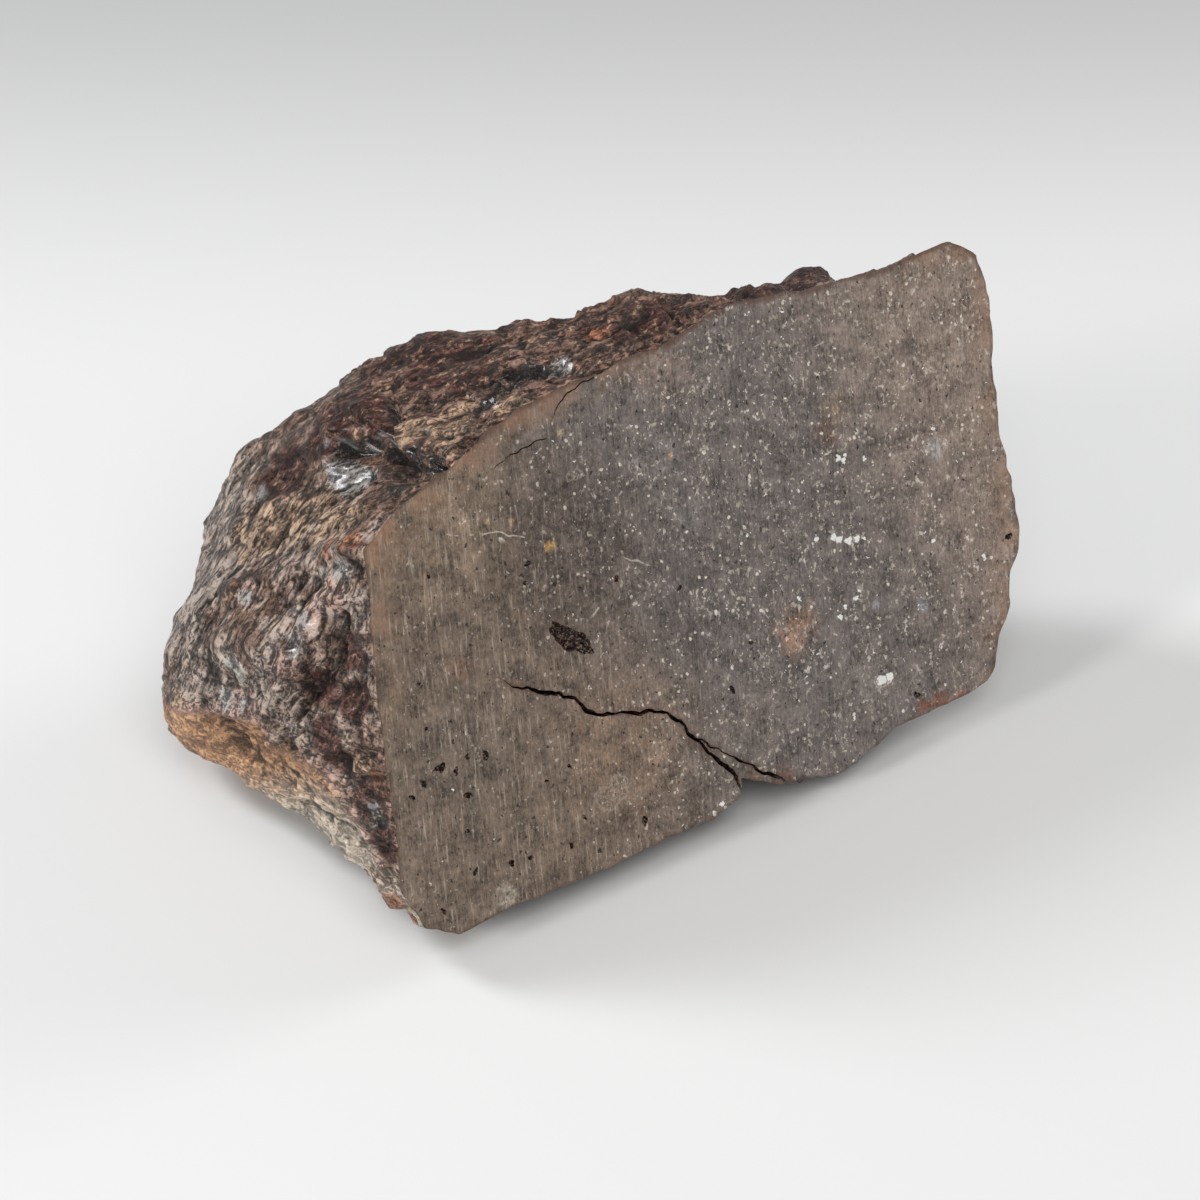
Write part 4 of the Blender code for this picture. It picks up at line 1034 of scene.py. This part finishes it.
crust = dict(
    # colours as seen. Black is also painted as shade into crevices, the grey of gloss is also painted as
    # a sheen, the pale of glint is painted as highlights, and deep and shadow are painted shade, in the
    # seams and between the folds
    brown=colour(150, 119, 102), grey=colour(168, 152, 142), slate=colour(165, 151, 141),
    umber=colour(117, 84, 69), black=colour(30, 26, 26), tan=colour(190, 159, 132),
    ash=colour(192, 178, 158), rust=colour(164, 106, 74), wine=colour(88, 52, 44),
    pink=colour(188, 156, 145), lowTan=colour(208, 160, 122), lowAsh=colour(216, 202, 184),
    gloss=colour(176, 173, 170), dust=colour(180, 148, 120), glint=colour(216, 211, 206),
    deep=colour(24, 18, 17), shadow=colour(46, 33, 29),
    # how strongly each kind of patch shows, painted in this order, and everything else
    strengths=dict(slate=0.75, wine=0.95, ash=0.9, tan=0.8, pink=0.85, gloss=0.8, rust=0.8, black=0.97),
    shown=dict(crown=0.85, behind=0.6, lip=0.8, wineGrains=0.5, rustGrains=0.6, glint=0.8, seam=0.85),
    # layers of noise: scale, detail and roughness
    layers=dict(broad=(0.2, 3.0, 0.6), middle=(0.8, 5.0, 0.65), grain=(3.8, 4.0, 0.8)),
    # the folds' noise: how far it is drawn out, then detail, roughness and twist
    foldStretch=2.8, foldNoise=(4.0, 0.66, 1.0), creaseAt=0.48,
    # the hue times this on top of the folds, as painted light, and between them, as painted shade
    light=2.5, dim=0.32,
    specular=0.4, coat=(0.08, 0.6), coatRoughness=0.2, roughness=(0.22, 0.60),
    # relief in millimetres, and how much of it each layer makes
    relief=1.2, reliefOf=dict(lobes=0.25, folds=2.4, grain=1.0),
)


def brokenCrustMaterial():
    paint = board("brokenCrust")
    place, _, up = faceCoordinates(paint)
    kinds = {kind: paint.attribute(kind) for kind in patches}
    shares = {name: paint.attribute(name) for name in regions}
    crevice, hollow, seam = (paint.attribute(name) for name in ("crevice", "hollow", "seam"))
    under, onRidgeHighlight = paint.attribute("under"), paint.attribute("lip")
    broad, middle, grain = (paint.noise(place, *layer) for layer in crust["layers"].values())
    shown = crust["shown"]
    # wrinkles drawn out along each region's direction
    folds = 0.0
    for name, region in regions.items():
        drawn = drawnOut(paint, place, region["along"], crust["foldStretch"])
        folds = paint.noise(drawn, region["fineness"], *crust["foldNoise"]) * shares[name] + folds
    # hue: brown and grey, umber on the crown and behind, tan to ash in the low hollow, and pink painted
    # along the ridge's crest as a highlight
    hue = paint.mix(paint.band(broad + middle * 0.5, 0.65, 0.85), crust["brown"], crust["grey"])
    crown = paint.band(shares["crown"] + middle * 0.6 - 0.3, 0.25, 0.65)
    hue = paint.mix(crown * shown["crown"], hue, crust["umber"])
    hue = paint.mix(shares["behind"] * shown["behind"], hue, crust["umber"])
    low = paint.mix(paint.band(up + middle * 6.0, 0.0, -4.5), crust["lowTan"], crust["lowAsh"])
    hue = paint.mix(under, hue, low)
    hue = paint.mix(onRidgeHighlight * shown["lip"], hue, crust["pink"])
    # patches with broken up borders, among them a lighter grey painted on glossy places as a sheen and
    # black painted into crevices as shade, then small grains of dust, wine and rust all over
    breakUp = grain * 0.9 + folds * 0.9 + middle * 0.6
    for kind, strength in crust["strengths"].items():
        patch = paint.band(kinds[kind] * 0.9 + breakUp, 1.50, 1.85)
        hue = paint.mix(patch * strength, hue, crust[kind])
    speckle = paint.noise(wandered(paint, place, 2.0, 0.6), 1.5, 5.0, 0.7)
    dust = paint.band(speckle, 0.55, 0.61) * (shares["crown"] * 0.4 + 0.5)
    hue = paint.mix(dust, hue, crust["dust"])
    wineGrains = paint.band(speckle + grain * 0.3, 0.56, 0.50)
    hue = paint.mix(wineGrains * shown["wineGrains"], hue, crust["wine"])
    rustGrains = paint.band(grain + middle * 0.5, 0.84, 0.98)
    hue = paint.mix(rustGrains * shown["rustGrains"], hue, crust["rust"])
    # the tone: fold tops painted lighter and the hollows between painted darker, as light and shade on
    # the wrinkles, less so in the low hollow and behind, with narrow creases painted dark as shade,
    # painted shade in every crevice, and lighter and darker areas
    level = paint.band(folds * 0.7 + grain * 0.3, 0.440, 0.560)
    level = paint.maths("MAXIMUM", level, under * 0.4)
    level = level * paint.band(shares["behind"], 0.2, 0.9, 1.0, 0.55)
    dark = paint.mix(0.5, paint.scaled(hue, crust["dim"]), crust["shadow"])
    fromCrease = paint.maths("ABSOLUTE", folds - crust["creaseAt"])
    crease = paint.band(fromCrease, 0.0, 0.018, 0.30, 1.0)
    shade = paint.band(crevice * 0.7 + hollow * 0.2 - kinds["pink"] * 0.4, 0.10, 0.9, 1.0, 0.22)
    areas = paint.band(middle * 0.7 + broad * 0.3 + kinds["pink"] * 0.08, 0.42, 0.58, 0.62, 1.30)
    base = paint.mix(level, dark, paint.scaled(hue, crust["light"]))
    base = paint.scaled(base, crease * shade * areas)
    # painted highlights: pale glints painted on glossy and slaty places, where the folds stand highest
    shiny = (kinds["slate"] * 0.2 + kinds["black"] * 0.4 + kinds["pink"] * 0.3
             + shares["flank"] * 0.4 + 0.15)
    shiny = paint.maths("MAXIMUM", kinds["gloss"], shiny)
    glint = paint.band(folds + grain * 0.4 + kinds["gloss"] * 0.05, 0.775, 0.825) * shiny
    base = paint.mix(glint * shown["glint"], base, crust["glint"])
    # the seams painted near black, as shade
    base = paint.mix(seam * shown["seam"], base, crust["deep"])
    gloss = paint.maths("MAXIMUM", kinds["gloss"], kinds["black"] * 0.7)
    dull = grain * 0.6 + middle - gloss * 0.35 - shares["flank"] * 0.1
    coatLow, coatMore = crust["coat"]
    relief = crust["reliefOf"]
    lobes = paint.band(fromCrease, 0.0, 0.07)
    height = lobes * relief["lobes"] + folds * relief["folds"] + grain * relief["grain"]
    paint.plug(paint.shader.inputs["Specular IOR Level"], crust["specular"])
    return paint.finish(
        baseColor=base, roughness=paint.band(dull, 0.50, 1.0, *crust["roughness"]),
        coatWeight=gloss * coatMore + coatLow, coatRoughness=crust["coatRoughness"],
        normal=paint.bump(height, crust["relief"] * mm))


# Inside the crack, the vug and the pits: near black, painted as the shade inside these openings, with
# rust and a few pale grains of their own
opened = dict(
    dark=colour(16, 11, 10), rust=colour(70, 38, 30), pale=colour(190, 162, 144),
    # noise: scale, detail and roughness
    mottle=(2.2, 4.0, 0.7), grain=(6.0, 3.0, 0.7),
    roughness=0.34, relief=0.12,
)


def openedWallMaterial():
    paint = board("openedWall")
    place = faceCoordinates(paint)[0]
    mottle, grain = paint.noise(place, *opened["mottle"]), paint.noise(place, *opened["grain"])
    base = paint.mix(paint.band(mottle, 0.44, 0.62), opened["dark"], opened["rust"])
    base = paint.mix(paint.band(grain + mottle * 0.3, 0.68, 0.76) * 0.7, base, opened["pale"])
    return paint.finish(baseColor=base, roughness=opened["roughness"],
                        normal=paint.bump(mottle + grain * 0.5, opened["relief"] * mm, 0.9))


# Studio: a pale floor, a window at the far left, softer light from the left front, from above
# and from the far right, and the camera
studio = dict(
    # the floor's colour in front, the darker colour painted behind as shade where the light falls off,
    # and where the one turns into the other, in mm
    floorNear=colour(216, 216, 216), floorFar=colour(173, 173, 173), floorShadeFade=(40.0, 120.0),
    floorHalf=1500.0, floorRoughness=0.75,
    cameraUp=math.radians(40.0), cameraAway=260.0, cameraAim=(-6.3, -0.7), pixel=0.07,
    photoPixels=1200, sensor=36.0, clip=(10.0, 10000.0),     # the camera sees from 10 mm to 10 m
    world=(0.95, 0.97, 1.0), worldStrength=0.27,
    # name, middle (mm), size (mm), watts, tint; each looks at the stone
    lamps=[("window", (-670.0, 300.0, 530.0), (200.0, 280.0), 5.2, (0.96, 0.98, 1.0)),
           ("leftFront", (-430.0, -260.0, 230.0), (110.0, 110.0), 1.3, (1.0, 0.98, 0.95)),
           ("overhead", (80.0, -300.0, 480.0), (420.0, 420.0), 1.5, (1.0, 0.985, 0.96)),
           ("farRight", (380.0, 240.0, 200.0), (260.0, 200.0), 0.95, (1.0, 0.99, 0.97))],
)


def makeStudio():
    half = studio["floorHalf"] * mm
    corners = half * np.array([(-1.0, -1.0, 0.0), (1.0, -1.0, 0.0), (1.0, 1.0, 0.0), (-1.0, 1.0, 0.0)])
    paint = board("paleFloor")
    place = paint.node("ShaderNodeTexCoord", {}, {}, "Object")
    depth = paint.vector("DOT_PRODUCT", place, (0.0, 1.0 / mm, 0.0), "Value")
    # the floor is painted darker farther back, as shade
    shade = paint.mix(paint.band(depth, *studio["floorShadeFade"]), studio["floorNear"], studio["floorFar"])
    material = paint.finish(baseColor=shade, roughness=studio["floorRoughness"])
    floor = makeMesh("studioFloor", corners, [[0, 1, 2, 3]], [material])
    world = bpy.data.worlds.new("softRoom")
    world.use_nodes = True
    sky = world.node_tree.nodes["Background"].inputs
    sky["Color"].default_value = (*studio["world"], 1.0)
    sky["Strength"].default_value = studio["worldStrength"]
    bpy.context.scene.world = world
    for name, middle, size, watts, tint in studio["lamps"]:
        lamp = bpy.data.lights.new(name, "AREA")
        lamp.shape, lamp.size, lamp.size_y = "RECTANGLE", size[0] * mm, size[1] * mm
        lamp.energy, lamp.color = watts, tint
        holder = bpy.data.objects.new(name, lamp)
        holder.location = Vector(middle) * mm
        holder.rotation_euler = (-holder.location).to_track_quat("-Z", "Y").to_euler()
        bpy.context.collection.objects.link(holder)
    print("studio:", len(studio["lamps"]), "lamps")


def makeCamera():
    # on a line up from the aim point, far enough that a photo pixel at the face's middle
    # is one pixel size across
    up = np.array([0.0, math.sin(studio["cameraUp"]), math.cos(studio["cameraUp"])])
    back = np.array([0.0, -math.cos(studio["cameraUp"]), math.sin(studio["cameraUp"])])
    right = np.array([1.0, 0.0, 0.0])
    aim = faceMiddle + studio["cameraAim"][0] * right + studio["cameraAim"][1] * up
    data = bpy.data.cameras.new("photoCamera")
    data.sensor_width = studio["sensor"]
    data.lens = studio["sensor"] * studio["cameraAway"] / (studio["pixel"] * studio["photoPixels"])
    data.clip_start, data.clip_end = (distance * mm for distance in studio["clip"])
    camera = bpy.data.objects.new("photoCamera", data)
    place = Matrix.Translation(Vector((aim + studio["cameraAway"] * back) * mm))
    camera.matrix_world = place @ Matrix((right, up, back)).transposed().to_4x4()
    bpy.context.collection.objects.link(camera)
    bpy.context.scene.camera = camera
    print("camera: lens", round(data.lens, 1))


def main():
    bpy.context.scene.view_settings.view_transform = "Standard"
    makeCamera()
    makeStudio()
    stone = makeStone([brokenCrustMaterial(), sawnFaceMaterial()])
    cutOpenings(stone, openedWallMaterial())
    stone.data.shade_smooth()
    stone.data.set_sharp_from_angle(angle=form["smoothBelow"])
    paintAttributes(stone)
    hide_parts("meteorite_end_cut")
    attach(stone, "root")


main()
